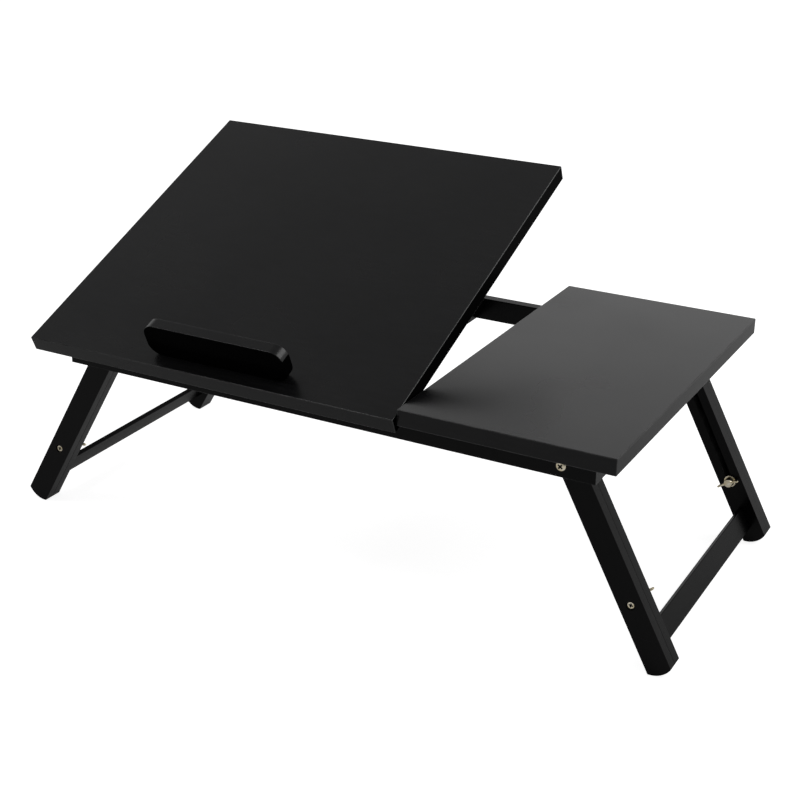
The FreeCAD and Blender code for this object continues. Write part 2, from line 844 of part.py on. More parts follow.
def folded_left_foot():
    """The lowest corner of a left foot, folded and drawn out: how far in from its pivot and how far below."""
    droop = radians(90.0 + left_leg_splay - left_fold())
    along = leg_pairs["left"].foot_centre + leg_travel + sqrt(foot_radius ** 2 - leg_half ** 2)
    inward = along * cos(droop) - leg_half * sin(droop)
    return inward, along * sin(droop) + leg_half * cos(droop)


def right_fold():
    """The right legs fold until they would meet the middle rail or the left legs, folded and drawn out."""
    pivot = leg_pairs["right"].pivot_x
    inward, drop = folded_left_foot()
    foot_run = pivot - leg_pairs["left"].pivot_x - inward
    rail_run = pivot - middle_rail_right
    droop = max(droop_under(rail_run, leg_pivot_above_rail_bottom), droop_under(foot_run, drop))
    return 90.0 + right_leg_splay - droop


# ---- all the pieces -------------------------------------------------------------------------------------
def each_leg():
    for pair in leg_pairs.values():
        for place in leg_places.values():
            yield pair, place


def frame_pieces():
    dowels = frame_dowels()
    fixing_dowels = board_dowels()
    holes = [pivot_hole(pair, place) for pair, place in each_leg()]
    leaf_screws = []
    for centre in hinge_centres().values():
        leaf_screws += rail_leaf_screws(centre)
    screw_holes = [screw_body(*place) for place in leaf_screws]
    rail_cuts = dowels + fixing_dowels + holes + screw_holes
    pieces = {
        "front_rail": cut_all(long_rail(front_rail_face, front_rail_inside), rail_cuts),
        "rear_rail": cut_all(long_rail(rear_rail_face, rear_rail_inside), rail_cuts),
        "frame_dowels": dowels,
        "fixed_board": cut_all(board(fixed_board_left, right_edge), fixing_dowels),
        "fixed_board_dowels": fixing_dowels,
        "hinge_rail_screws": [wood_screw(*place) for place in leaf_screws],
    }
    strip_screws = rack_screws("left") + rack_screws("right")
    strip_holes = [screw_body(*place) for place in strip_screws]
    for name, left in cross_rail_lefts().items():
        pieces[name] = cut_all(cross_rail(left), dowels + strip_holes)
    for name, left in rack_lefts().items():
        pieces[name + "_rack"] = cut_all(rack(left), strip_holes)
    pieces["rack_screws"] = [wood_screw(*place) for place in strip_screws]
    for name, centre in hinge_centres().items():
        pieces[name + "_hinge_rail_leaf"] = hinge_rail_leaf(centre)
        pieces[name + "_hinge_pin"] = hinge_pin(centre)
    return pieces


def tilt_board_pieces():
    screws = []
    for name in prop_arm_lefts():
        screws += bracket_screws(name)
    leaf_screws = []
    for centre in hinge_centres().values():
        leaf_screws += board_leaf_screws(centre)
    stopper_screws = [(place, (0, 0, 1), stopper_screw_length) for place in stopper_screw_places()]
    holes = [screw_body(*place) for place in screws + leaf_screws + stopper_screws]
    stopper_holes = [screw_body(*place) for place in stopper_screws]
    pieces = {
        "tilt_board": cut_all(board(left_edge, tilt_board_right), holes),
        "stopper": cut_all(stopper_plate(), stopper_holes),
        "stopper_screws": [wood_screw(*place) for place in stopper_screws],
        "hinge_board_screws": [wood_screw(*place) for place in leaf_screws],
        "prop_bracket_screws": [wood_screw(*place) for place in screws],
    }
    for name, centre in hinge_centres().items():
        pieces[name + "_hinge_board_leaf"] = hinge_board_leaf(centre)
    for name in prop_arm_lefts():
        pieces[name + "_prop_bracket"] = prop_bracket(name)
        pieces[name + "_prop_pin"] = prop_pin(name)
    raised = {}
    for name, piece in pieces.items():
        solids = piece if isinstance(piece, list) else [piece]
        raised[name] = [tilted(solid) for solid in solids]
    return raised


def prop_pieces():
    pieces = {"prop_rod": prop_rod()}
    for name, left in prop_arm_lefts().items():
        pieces[name + "_prop_arm"] = prop_arm(left)
    return pieces


def leg_pieces():
    pieces = {}
    for name, pair in leg_pairs.items():
        for end, place in leg_places.items():
            pieces[name + "_" + end + "_upper_leg"] = upper_leg(pair, place)
            pieces[name + "_" + end + "_lower_leg"] = lower_leg(pair, place)
            pieces[name + "_" + end + "_wing_nut"] = wing_nut(pair, place)
        pieces[name + "_crossbar"] = crossbar(pair)
        places = leg_places.values()
        pieces[name + "_clamp_bolts"] = [clamp_bolt(pair, place) for place in places]
        pieces[name + "_clamp_washers"] = [clamp_washer(pair, place) for place in places]
    pieces["pivot_bolts"] = [pivot_bolt(pair, place) for pair, place in each_leg()]
    pieces["pivot_spacer_washers"] = [spacer_washer(pair, place) for pair, place in each_leg()]
    pieces["pivot_washers"] = [pivot_washer(pair, place) for pair, place in each_leg()]
    pieces["pivot_nuts"] = [pivot_nut(pair, place) for pair, place in each_leg()]
    return pieces


def all_pieces():
    """Every piece by name, each one solid or a list of solids, about the middle of the boards."""
    pieces = {}
    for group in (frame_pieces(), tilt_board_pieces(), prop_pieces(), leg_pieces()):
        pieces.update(group)
    return {name: piece if isinstance(piece, list) else [piece] for name, piece in pieces.items()}


def origin_shift(pieces):
    """The move that puts the middle of the overall box over the origin."""
    bounds = FreeCAD.BoundBox()
    for solids in pieces.values():
        for solid in solids:
            bounds.add(solid.optimalBoundingBox(True, False))
    return vector(-bounds.Center.x, -bounds.Center.y, 0)


def main():
    os.makedirs("parts", exist_ok=True)
    pieces = all_pieces()
    shift = origin_shift(pieces)
    for name, solids in pieces.items():
        moved = []
        for solid in solids:
            piece = solid.copy()
            piece.translate(shift)
            moved.append(piece)
        shape = moved[0] if len(moved) == 1 else Part.makeCompound(moved)
        shape.exportStep(os.path.join("parts", name + ".step"))
    print(f"{len(pieces)} pieces, moved by {shift.x:.3f}, {shift.y:.3f}")


if __name__ == "__main__":
    main()
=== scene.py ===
"""Looks of the black bed tray table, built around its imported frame. Lengths are in metres."""

import json
from math import cos, pi, radians, sin

import bpy
from bpy.props import FloatProperty, FloatVectorProperty, IntProperty, PointerProperty
from mathutils import Matrix, Vector


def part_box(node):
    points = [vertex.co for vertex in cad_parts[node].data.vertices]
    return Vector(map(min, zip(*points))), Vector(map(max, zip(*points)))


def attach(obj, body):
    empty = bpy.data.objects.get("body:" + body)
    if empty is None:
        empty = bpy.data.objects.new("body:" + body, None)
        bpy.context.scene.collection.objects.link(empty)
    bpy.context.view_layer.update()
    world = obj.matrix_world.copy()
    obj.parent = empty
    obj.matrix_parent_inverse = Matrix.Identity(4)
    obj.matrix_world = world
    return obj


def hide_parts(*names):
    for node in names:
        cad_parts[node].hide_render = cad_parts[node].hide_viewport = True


bl_info = {
    "name": "Bed Tray Table",
    "version": (1, 0, 0),
    "blender": (4, 5, 0),
    "location": "3D View > Sidebar > Bed Tray",
    "description": "Finishes a bed tray table: black lacquer, plated fasteners, studio",
    "category": "Object",
}

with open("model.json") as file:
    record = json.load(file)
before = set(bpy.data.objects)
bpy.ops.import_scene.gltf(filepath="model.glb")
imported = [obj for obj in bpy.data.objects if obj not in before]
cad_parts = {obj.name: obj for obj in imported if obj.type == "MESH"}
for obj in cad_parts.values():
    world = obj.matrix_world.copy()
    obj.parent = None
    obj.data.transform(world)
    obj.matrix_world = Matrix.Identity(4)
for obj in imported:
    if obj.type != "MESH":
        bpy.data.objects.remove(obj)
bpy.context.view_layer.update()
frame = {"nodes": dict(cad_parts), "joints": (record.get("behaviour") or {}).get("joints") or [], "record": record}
SIDES = ("left", "right")
ENDS = ("front", "rear")
STEEL_SLOT = "black_steel"
ZINC_SLOT = "yellow_zinc"
DOWEL_SLOT = "beech_dowel"
ALONG_X = Vector((1.0, 0.0, 0.0))
ALONG_Y = Vector((0.0, 1.0, 0.0))
ALONG_Z = Vector((0.0, 0.0, 1.0))

# modelling
NEAR = 1e-5
MERGE_DISTANCE = 1e-6
OVERSHOOT = 0.001
SMOOTH_ANGLE = radians(35.0)
CORNER_ANGLE = radians(40.0)
THREAD_DEPTH = 0.5
RECESS_TAPER = 0.6
STOPPER_RIM = 0.0006
SIDEWAYS = 0.5
# which stopper faces keep the darker lacquer as painted shade, and which take the lit board lacquer
STOPPER_SHADED_FACING = 0.9
STOPPER_LIT_FACING = 0.3
FOOT_SIDES = 96
SLOT_SIDES = 36
SEAM_GAP = 0.00008

# the mouth and the bore for a clamp bolt's head in an outer strip
MOUTH_RADIUS = 0.004
MOUTH_DEPTH = 0.0008
MOUTH_SIDES = 40
BORE_RADIUS = 0.0031
BORE_SKIN = 0.0005
BORE_SIDES = 32

# pan heads, sunk heads, washers and nuts; a share is of the head's height or radius
PAN_DOME_SHARE = 0.72
PAN_PROFILE = 0.46
PAN_FOOT_RIM = 0.00025
PAN_RECESS_SHARE = 1.32
PAN_RECESS_DEPTH = 0.0018
SHANK_ROOT = 0.0004
SUNK_HEAD_RADIUS = 0.0029
SUNK_NECK_SHARE = 0.9
SUNK_RIM = 0.0002
SUNK_RECESS_SHARE = 0.36
SUNK_RECESS_DEPTH = 0.0013
SUNK_SHANK_SHARE = 0.6
CLAMP_HEAD_DEPTH = 0.0013
CLAMP_RECESS = 0.0048
SCREW_HEAD_DEPTH = 0.0014
SCREW_RADIUS = 0.0015
SCREW_RECESS = 0.0038
SCREW_TIP = 0.0025
SCREW_POINT_SHARE = 0.15
SCREW_END_FACING = -0.9
SCREW_AXES = {"hinge_rail_screws": 1, "rack_screws": 0, "hinge_board_screws": 2, "stopper_screws": 2,
              "prop_bracket_screws": 2}
RACK_BORDER = -0.1
RING_RADII = {"pivot_spacer_washers": 0.0065, "pivot_washers": 0.0052}
CLAMP_RING_RADIUS = 0.0055
RING_RIM_SHARE = 0.16
THREAD_PLAY = 0.00005
NUT_CHAMFER = 0.00055
RECESS_SERIES = (17.0, 31.0, 12.0)

# wing nuts; a wing's steps are shares of the half span and of the height, and how much it thins
BOSS_TAPER = 0.84
WING_ROOT = (0.45, 0.95)
WING_HALF_THICKNESS = 0.0011
WING_FOOT = 0.0008
WING_ROOT_SHARE = 0.80
WING_STEPS = ((0.30, 0.20, 0.92), (0.20, 0.16, 0.94), (0.085, 0.08, 0.55))
WING_FACING = 0.2
WING_END = 0.001
CAST_GRAIN = 0.00026

# lacquers: name, grain's turn about Z, share of the lacquer's colour, gloss
FRAME_SHARE = 0.25
FRAME_GLOSS = 0.11
RIM_GLOSS = 0.32
LACQUERS = (
    ("board_lacquer", 0.0, 1.0, 0.38),
    ("board_edge_lacquer", 0.0, 0.8, 0.22),
    ("tilting_end_lacquer", pi / 2, FRAME_SHARE, 0.004),
    ("fixed_end_lacquer", pi / 2, FRAME_SHARE, 0.08),
    # the stopper's front and back get a darker, almost glossless copy of the lacquer as painted shade; its top
    # keeps the lit board lacquer
    ("stopper_face_lacquer", 0.0, FRAME_SHARE, 0.004),
    ("stopper_rim_lacquer", 0.0, 1.0, 0.38),
    ("frame_lacquer_along_x", 0.0, FRAME_SHARE, FRAME_GLOSS),
    ("frame_lacquer_along_y", pi / 2, FRAME_SHARE, FRAME_GLOSS),
    ("crossbar_lacquer", pi / 2, FRAME_SHARE, 0.08),
)
LACQUERED_NODES = {
    "frame_lacquer_along_x": ("front_rail", "rear_rail"),
    "frame_lacquer_along_y": ("left_end_rail", "middle_rail", "right_end_rail", "left_rack", "right_rack"),
    "crossbar_lacquer": ("left_crossbar", "right_crossbar"),
}

# noises, each by its scale and detail, and the parts of their range that show
GRAIN = (330.0, 1.5)
CLOUD = (9.0, 2.0)
PEEL = (520.0, 0.0)
WORN_PATCH = (45.0, 4.0, 0.6)
WORN_SPECK = (700.0, 2.0)
PLATING_CLOUD = (260.0, 3.0)
PLATING_GRAIN = (2600.0, 2.0)
COATING_GRAIN = (1800.0, 2.0)
BEECH_GRAIN = (500.0, 4.0)
MOST_OF_NOISE = (0.3, 0.7)
GRAIN_RANGE = (0.35, 0.7)
PATCH_RANGE = (0.38, 0.62)
PLATING_RANGE = (0.35, 0.65)
LACQUER_STRETCH = 6.0
BEECH_STRETCH = 5.0

# finishes: bumps by strength and height, roughness from low to high
GRAIN_BUMP = (0.025, 0.0002)
PEEL_BUMP = (0.02, 0.0001)
PLATING_BUMP = (0.12, 0.00004)
COATING_BUMP = (0.2, 0.00008)
BEECH_BUMP = (0.1, 0.0002)
GRAIN_SHADES = (0.8, 1.35)
SHEEN_SPREAD = (-0.03, 0.04)
WORN_SHARES = (0.25, 1.0)
FLECK_SHARES = (0.6, 1.0)
PLATING_SHADE = 0.82
PLATING_GLINT = (0.86, 0.80, 0.66)
PLATING_ROUGHNESS = (0.10, 0.20)
COATING_SHADES = (0.7, 1.5)
COATING_ROUGHNESS = (0.38, 0.5)
COATING_GLOSS = 0.5
# gloss of the dark steel laid in the cross recesses as painted shade
RECESS_SHADE_GLOSS = 0.2
DARK_BEECH = (0.42, 0.25, 0.12)
PALE_BEECH = (0.62, 0.42, 0.24)
BEECH_ROUGHNESS = 0.6

# studio: lamps by name, place, width and power
LAMP_TARGET = (0.0, 0.0, 0.15)
LAMPS = (
    ("key_lamp", (1.6, 1.2, 2.0), 1.6, "key_power"),
    ("front_lamp", (-0.92, -0.82, 1.85), 0.5, "front_power"),
)
WALL_RANGE = (-0.5, 0.5)
CEILING_RANGE = (0.30, 0.80)
FLOOR_WIDTH = 12.0
FLOOR_DROP = 0.0002
FLOOR_GREY = 0.60
FLOOR_ROUGHNESS = 0.9
FLOOR_GLOSS = 0.1
FLOOR_GLOWS = (("Is Camera Ray", 0.86), ("Is Glossy Ray", 0.15), ("Is Transmission Ray", 0.15))
FILM_WIDTH = 36.0


# ---- what a user may change ------------------------------------------------
def length_value(name, description, default, low, high):
    return FloatProperty(name=name, description=description, default=default, min=low, max=high,
                         unit="LENGTH")


def colour_value(name, description, default):
    return FloatVectorProperty(name=name, description=description, default=default, min=0.0, max=1.0,
                               subtype="COLOR")


def share_value(name, description, default):
    return FloatProperty(name=name, description=description, default=default, min=0.0, max=1.0,
                         subtype="FACTOR")


def angle_value(name, description, degrees):
    return FloatProperty(name=name, description=description, default=radians(degrees), subtype="ANGLE")


def power_value(name, description, default):
    return FloatProperty(name=name, description=description, default=default, min=0.0, unit="POWER")


class BedTrayFinish(bpy.types.PropertyGroup):
    """Colours and sheen of the table's finishes."""

    lacquer_colour: colour_value("Lacquer", "Colour of the black lacquer", (0.0042, 0.0042, 0.0046))
    lacquer_roughness: share_value("Lacquer roughness", "How matt the lacquer is", 0.25)
    # the paler rim colour is wear, and on the boards' rims also painted highlight along the edges
    rim_wear_and_highlight_colour: colour_value("Worn rim", "Colour where the lacquer is rubbed thin", (0.05, 0.05, 0.05))
    zinc_colour: colour_value("Zinc", "Colour of the pale yellow plating", (0.80, 0.68, 0.42))
    steel_colour: colour_value("Steel coating", "Colour of the coated steel of hinges and prop",
                               (0.006, 0.006, 0.0065))


class BedTrayHardware(bpy.types.PropertyGroup):
    """Sizes of the boards', legs' and fasteners' small shapes."""

    recess_width: length_value("Recess width", "Width of a pan head's cross recess's slots", 0.0019, 0.0005,
                               0.003)
    thread_pitch: length_value("Thread pitch", "Distance between the threads of a bolt", 0.0008, 0.0004,
                               0.002)
    ring_sides: IntProperty(name="Sides", description="Sides of round hardware", default=40, min=16, max=96)
    board_rim: length_value("Board rim", "Rounding of the boards' edges", 0.0007, 0.0002, 0.003)
    stopper_corner: length_value("Stopper corner", "Radius of the stopper plate's corners", 0.012, 0.002,
                                 0.016)
    leg_width: length_value("Leg width", "Width of a leg's strips", 0.0217, 0.01, 0.04)
    leg_rim: length_value("Leg rim", "Rounding of the legs' edges", 0.0004, 0.0001, 0.002)
    foot_radius: length_value("Foot radius", "Radius of a foot's rounded end", 0.02, 0.01, 0.05)
    lower_leg_top: length_value("Inner strip top", "How far below the pivot the inner strip starts", 0.013,
                                0.0, 0.05)
    lower_leg_corner: length_value("Inner strip corner", "Radius of the inner strip's top corners", 0.004,
                                   0.001, 0.01)
    slot_width: length_value("Slot width", "Width of the inner strip's slot", 0.0055, 0.003, 0.01)
    bolt_radius: length_value("Bolt radius", "Radius of the legs' bolts", 0.0025, 0.001, 0.005)
    pan_radius: length_value("Pan head radius", "Radius of a pivot bolt's head", 0.0045, 0.003, 0.01)
    pan_height: length_value("Pan head height", "Height of a pivot bolt's head", 0.0028, 0.001, 0.006)
    nut_flats: length_value("Nut width", "Width of a hexagon nut across its flats", 0.008, 0.004, 0.016)
    nut_height: length_value("Nut height", "Height of a hexagon nut", 0.004, 0.002, 0.008)
    wing_nut_radius: length_value("Wing nut radius", "Radius of a wing nut's foot", 0.0045, 0.003, 0.01)
    wing_nut_height: length_value("Wing nut height", "Height of a wing nut's middle", 0.0055, 0.003, 0.01)
    wing_span: length_value("Wing span", "Distance between a wing nut's tips", 0.021, 0.012, 0.04)
    wing_height: length_value("Wing height", "Height of a wing nut's tips", 0.0085, 0.004, 0.02)


class BedTrayStudio(bpy.types.PropertyGroup):
    """The camera and the light around the table."""

    azimuth: angle_value("Azimuth", "How far the camera stands to the right of the table's front", 28.58)
    elevation: angle_value("Elevation", "How far the camera looks down", 23.22)
    roll: angle_value("Roll", "Turn of the camera about its own view line", 0.47)
    lens: FloatProperty(name="Lens", description="Focal length on a film 36 mm wide", default=68.84,
                        min=10.0, max=300.0, unit="CAMERA")
    camera_place: FloatVectorProperty(name="Camera place", description="Where the camera stands",
                                      default=(0.6340, -1.1508, 0.6850), subtype="TRANSLATION")
    key_power: power_value("Key power", "Power of the soft lamp behind and to the right", 26.0)
    front_power: power_value("Front power", "Power of the small lamp at the front left", 6.0)
    back_light: share_value("Back wall", "Brightness of the studio wall behind the table", 0.72)
    front_light: share_value("Front wall", "Brightness of the studio wall behind the camera", 0.23)
    ceiling_light: share_value("Ceiling", "Brightness of the studio ceiling", 0.27)


def finish_values():
    return bpy.context.scene.bed_tray_finish


def hardware_values():
    return bpy.context.scene.bed_tray_hardware


def studio_values():
    return bpy.context.scene.bed_tray_studio


# ---- places read from the frame --------------------------------------------
def joint(name):
    for entry in frame["joints"]:
        if entry["name"] == name:
            return entry
    raise RuntimeError("the frame has no joint named " + name)


# ---- modelling by hand -----------------------------------------------------
def deselect():
    bpy.ops.object.select_all(action="DESELECT")


def pick(*pieces):
    """Select just these pieces, the first of them active."""
    deselect()
    for piece in pieces:
        piece.select_set(True)
    bpy.context.view_layer.objects.active = pieces[0]


def leave_edit():
    bpy.ops.object.mode_set(mode="OBJECT")


def choose(piece, mode, kind, test):
    """Enter edit mode with just the parts of a piece's mesh selected that pass a test."""
    pick(piece)
    bpy.ops.object.mode_set(mode="EDIT")
    bpy.ops.mesh.select_mode(type=mode)
    bpy.ops.mesh.select_all(action="DESELECT")
    leave_edit()
    for part in getattr(piece.data, kind):
        part.select = test(part)
    bpy.ops.object.mode_set(mode="EDIT")


def choose_edges(piece, test):
    """Choose the edges whose two ends pass a test."""
    choose(piece, "EDGE", "edges", lambda edge: test(*[piece.data.vertices[i].co for i in edge.vertices]))


def choose_faces(piece, test):
    """Choose the faces whose middle and normal pass a test."""
    choose(piece, "FACE", "polygons", lambda face: test(face.center, face.normal))


def enter_whole(piece):
    """Enter edit mode with all of a piece selected."""
    pick(piece)
    bpy.ops.object.mode_set(mode="EDIT")
    bpy.ops.mesh.select_all(action="SELECT")


def modify(piece, kind, **values):
    """Add a modifier, set it and apply it."""
    pick(piece)
    bpy.ops.object.modifier_add(type=kind)
    modifier = piece.modifiers[-1]
    for key, value in values.items():
        setattr(modifier, key, value)
    bpy.ops.object.modifier_apply(modifier=modifier.name)


def combine(piece, tool, operation):
    """Join, cut or cross a piece with a tool, which is used up."""
    modify(piece, "BOOLEAN", operation=operation, object=tool, solver="EXACT")
    bpy.data.objects.remove(tool)


def add_finishes(piece, finishes):
    for finish in finishes:
        piece.data.materials.append(finish)


def paint_faces(piece, index, test):
    """Give the faces whose middle and normal pass a test the piece's material of a number."""
    choose_faces(piece, test)
    piece.active_material_index = index
    bpy.ops.object.material_slot_assign()
    leave_edit()


def cut_with_finish(piece, tool, finishes):
    """Cut a piece with a tool, whose cut shows the second of two finishes: painted shade in a bolt's cross recess,
    wear on a slot's walls.
    """
    add_finishes(piece, finishes)
    add_finishes(tool, finishes)
    paint_faces(tool, 1, lambda middle, normal: True)
    combine(piece, tool, "DIFFERENCE")


def material(name):
    return bpy.data.materials[name]


def settled():
    """The primitive just added, with its place and size carried into its mesh."""
    bpy.ops.object.transform_apply(location=True, rotation=True, scale=True)
    return bpy.context.object


def round_bar(radius, low, high, sides):
    """A round bar along Z between two heights."""
    deselect()
    bpy.ops.mesh.primitive_cylinder_add(vertices=sides, radius=radius, depth=high - low,
                                        location=(0.0, 0.0, (low + high) / 2))
    return settled()


def round_cone(low_radius, high_radius, low, high, sides):
    """A blunt cone along Z between two heights."""
    deselect()
    bpy.ops.mesh.primitive_cone_add(vertices=sides, radius1=low_radius, radius2=high_radius,
                                    depth=high - low, location=(0.0, 0.0, (low + high) / 2))
    return settled()


def block(low, high):
    """A block between two corners."""
    middle = [(low[i] + high[i]) / 2 for i in range(3)]
    size = [high[i] - low[i] for i in range(3)]
    deselect()
    bpy.ops.mesh.primitive_cube_add(size=1.0, location=middle, scale=size)
    return settled()


def bevel_ring(piece, height, offset, segments, profile=0.5):
    """Round the ring of edges at a height."""
    choose_edges(piece, lambda a, b: abs(a.z - height) < NEAR and abs(b.z - height) < NEAR)
    bpy.ops.mesh.bevel(offset=offset, offset_type="OFFSET", segments=segments, profile=profile,
                       affect="EDGES")
    leave_edit()


def threaded_bar(radius, low, high):
    """A bar whose surface is ringed with threads from the low end to the high end."""
    pitch = hardware_values().thread_pitch
    depth = THREAD_DEPTH * pitch
    turns = max(1, round((high - low) / pitch))
    rise = (high - low) / turns / 2
    waist = (radius - depth) / radius
    deselect()
    bpy.ops.mesh.primitive_circle_add(vertices=hardware_values().ring_sides, radius=radius - depth,
                                      fill_type="NGON", location=(0.0, 0.0, low))
    piece = settled()
    enter_whole(piece)
    for _ in range(turns):
        for factor in (1.0 / waist, waist):
            bpy.ops.mesh.extrude_region_move(TRANSFORM_OT_translate={"value": (0.0, 0.0, rise)})
            bpy.ops.transform.resize(value=(factor, factor, 1.0), center_override=(0.0, 0.0, 0.0))
    bpy.ops.mesh.select_all(action="SELECT")
    bpy.ops.mesh.normals_make_consistent(inside=False)
    leave_edit()
    return piece


def cross_tool(length, width, depth, top):
    """A cross whose arms narrow downwards, to cut a recess from a height down."""
    arms = []
    for x, y in ((length, width), (width, length)):
        arm = block((-x / 2, -y / 2, top - depth), (x / 2, y / 2, top + depth))
        choose_faces(arm, lambda middle, normal: normal.z < -NEAR)
        bpy.ops.transform.resize(value=(RECESS_TAPER, RECESS_TAPER, 1.0),
                                 center_override=(0.0, 0.0, top - depth))
        leave_edit()
        arms.append(arm)
    combine(arms[0], arms[1], "UNION")
    return arms[0]


def copy_at(source, matrix):
    """A copy of a piece with its own mesh, carried to a place."""
    pick(source)
    bpy.ops.object.duplicate(linked=False)
    piece = bpy.context.object
    piece.data.transform(matrix)
    return piece


def joined(pieces):
    pick(*pieces)
    if len(pieces) > 1:
        bpy.ops.object.join()
    return bpy.context.object


def finished(piece, name, materials, body, nodes):
    """Clean and shade a piece, dress it, and hand it over in place of its frame nodes."""
    enter_whole(piece)
    bpy.ops.mesh.remove_doubles(threshold=MERGE_DISTANCE)
    bpy.ops.mesh.dissolve_degenerate(threshold=MERGE_DISTANCE)
    leave_edit()
    bpy.ops.object.shade_smooth_by_angle(angle=SMOOTH_ANGLE)
    modify(piece, "WEIGHTED_NORMAL", keep_sharp=True)
    piece.name = name
    piece.data.name = name
    indices = [face.material_index for face in piece.data.polygons]
    piece.data.materials.clear()
    add_finishes(piece, materials)
    piece.data.polygons.foreach_set("material_index", indices)
    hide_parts(*nodes)
    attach(piece, body)


def frame_along(direction, across):
    """The turn that carries Z to a direction and X as near as it can to another."""
    z_axis = Vector(direction).normalized()
    y_axis = z_axis.cross(Vector(across)).normalized()
    x_axis = y_axis.cross(z_axis)
    return Matrix((x_axis, y_axis, z_axis)).transposed().to_4x4()


def box_of(points):
    """The lowest and highest corners of some points."""
    return [Vector([end(point[i] for point in points) for i in range(3)]) for end in (min, max)]


def solid_boxes(node, turn=Matrix.Identity(4)):
    """The boxes of a node's separate solids in order, after a turn of the whole node."""
    pick(frame["nodes"][node])
    bpy.ops.object.duplicate(linked=False)
    bpy.ops.object.mode_set(mode="EDIT")
    bpy.ops.mesh.select_all(action="SELECT")
    bpy.ops.mesh.remove_doubles(threshold=NEAR)
    bpy.ops.mesh.separate(type="LOOSE")
    leave_edit()
    boxes = []
    for piece in list(bpy.context.selected_objects):
        boxes.append(box_of([turn @ vertex.co for vertex in piece.data.vertices]))
        bpy.data.objects.remove(piece)
    return sorted(boxes, key=lambda box: tuple(round(value, 4) for value in box[0]))


# ---- materials -------------------------------------------------------------
class Nodes:
    """The node tree of a material or a world, with short calls to add and join nodes."""

    def __init__(self, owner, main):
        owner.use_nodes = True
        self.owner = owner
        self.tree = owner.node_tree
        self.main = self.tree.nodes[main]

    def add(self, kind, **inputs):
        """A new node with some of its inputs set; an underscore in a name stands for a space."""
        node = self.tree.nodes.new("ShaderNode" + kind)
        for key, value in inputs.items():
            node.inputs[key.replace("_", " ")].default_value = value
        return node

    def join(self, output, socket):
        self.tree.links.new(output, socket)

    def drive(self, output, name):
        """Lead an output into an input of the main shader."""
        self.join(output, self.main.inputs[name])

    def set(self, name, value):
        self.main.inputs[name].default_value = value

    def coordinates(self, turn=(0.0, 0.0, 0.0), stretch=1.0):
        """Object coordinates, turned and then stretched along X."""
        mapping = self.add("Mapping", Rotation=turn, Scale=(stretch, 1.0, 1.0))
        mapping.vector_type = "TEXTURE"
        self.join(self.add("TexCoord").outputs["Object"], mapping.inputs["Vector"])
        return mapping.outputs["Vector"]

    def noise(self, vector, scale, detail, roughness=0.5):
        node = self.add("TexNoise", Scale=scale, Detail=detail, Roughness=roughness)
        self.join(vector, node.inputs["Vector"])
        return node.outputs["Fac"]

    def ramp(self, factor, start, end, kind="LINEAR"):
        """A factor carried from one range to another."""
        node = self.add("MapRange", From_Min=start[0], From_Max=start[1], To_Min=end[0], To_Max=end[1])
        node.interpolation_type = kind
        self.join(factor, node.inputs["Value"])
        return node.outputs["Result"]

    def blend(self, factor, low_colour, high_colour):
        node = self.add("Mix")
        node.data_type = "RGBA"
        node.inputs["A"].default_value = (*low_colour, 1.0)
        node.inputs["B"].default_value = (*high_colour, 1.0)
        self.join(factor, node.inputs["Factor"])
        return node.outputs["Result"]

    def total(self, first, second, operation="ADD"):
        node = self.add("Math")
        node.operation = operation
        self.join(first, node.inputs[0])
        self.join(second, node.inputs[1])
        return node.outputs["Value"]

    def bump(self, height, strength, distance, normal=None):
        node = self.add("Bump", Strength=strength, Distance=distance)
        self.join(height, node.inputs["Height"])
        if normal is not None:
            self.join(normal, node.inputs["Normal"])
        return node.outputs["Normal"]


def new_finish(name):
    return Nodes(bpy.data.materials.new(name), "Principled BSDF")


def scaled_colour(colour, share):
    return tuple(min(1.0, channel * share) for channel in colour)


def lacquer(name, turn, colour_share, gloss):
    """Satin black lacquer over wood, its grain along X before the turn."""
    values = finish_values()
    nodes = new_finish(name)
    nodes.set("Specular IOR Level", gloss)
    base = scaled_colour(values.lacquer_colour, colour_share)
    plain = nodes.coordinates()
    grain = nodes.noise(nodes.coordinates(turn, LACQUER_STRETCH), *GRAIN)
    shade = nodes.ramp(grain, GRAIN_RANGE, (0.0, 1.0))
    nodes.drive(nodes.blend(shade, *[scaled_colour(base, share) for share in GRAIN_SHADES]), "Base Color")
    sheen = [values.lacquer_roughness + spread for spread in SHEEN_SPREAD]
    nodes.drive(nodes.ramp(nodes.noise(plain, *CLOUD), MOST_OF_NOISE, sheen), "Roughness")
    first = nodes.bump(grain, *GRAIN_BUMP)
    nodes.drive(nodes.bump(nodes.noise(plain, *PEEL), *PEEL_BUMP, first), "Normal")
    return nodes.owner


def rim_wear_and_highlight(name, gloss):
    """Lacquer rubbed thin along an edge, in patches, over a pale ground; on the boards' rims the pale ground is
    also painted highlight along the edges.
    """
    values = finish_values()
    nodes = new_finish(name)
    nodes.set("Specular IOR Level", gloss)
    plain = nodes.coordinates()
    patch = nodes.ramp(nodes.noise(plain, *WORN_PATCH), PATCH_RANGE, WORN_SHARES)
    fleck = nodes.ramp(nodes.noise(plain, *WORN_SPECK), MOST_OF_NOISE, FLECK_SHARES)
    worn = nodes.total(patch, fleck, "MULTIPLY")
    nodes.drive(nodes.blend(worn, values.lacquer_colour, values.rim_wear_and_highlight_colour), "Base Color")
    nodes.set("Roughness", values.lacquer_roughness)


def plated(name):
    """Pale yellow zinc plating with faint streaks."""
    nodes = new_finish(name)
    plain = nodes.coordinates()
    fine = nodes.noise(plain, *PLATING_GRAIN)
    cloud = nodes.ramp(nodes.noise(plain, *PLATING_CLOUD), PLATING_RANGE, (0.0, 1.0))
    shade = scaled_colour(finish_values().zinc_colour, PLATING_SHADE)
    nodes.drive(nodes.blend(cloud, shade, PLATING_GLINT), "Base Color")
    nodes.set("Metallic", 1.0)
    nodes.drive(nodes.ramp(fine, MOST_OF_NOISE, PLATING_ROUGHNESS), "Roughness")
    nodes.drive(nodes.bump(fine, *PLATING_BUMP), "Normal")
    return nodes.owner


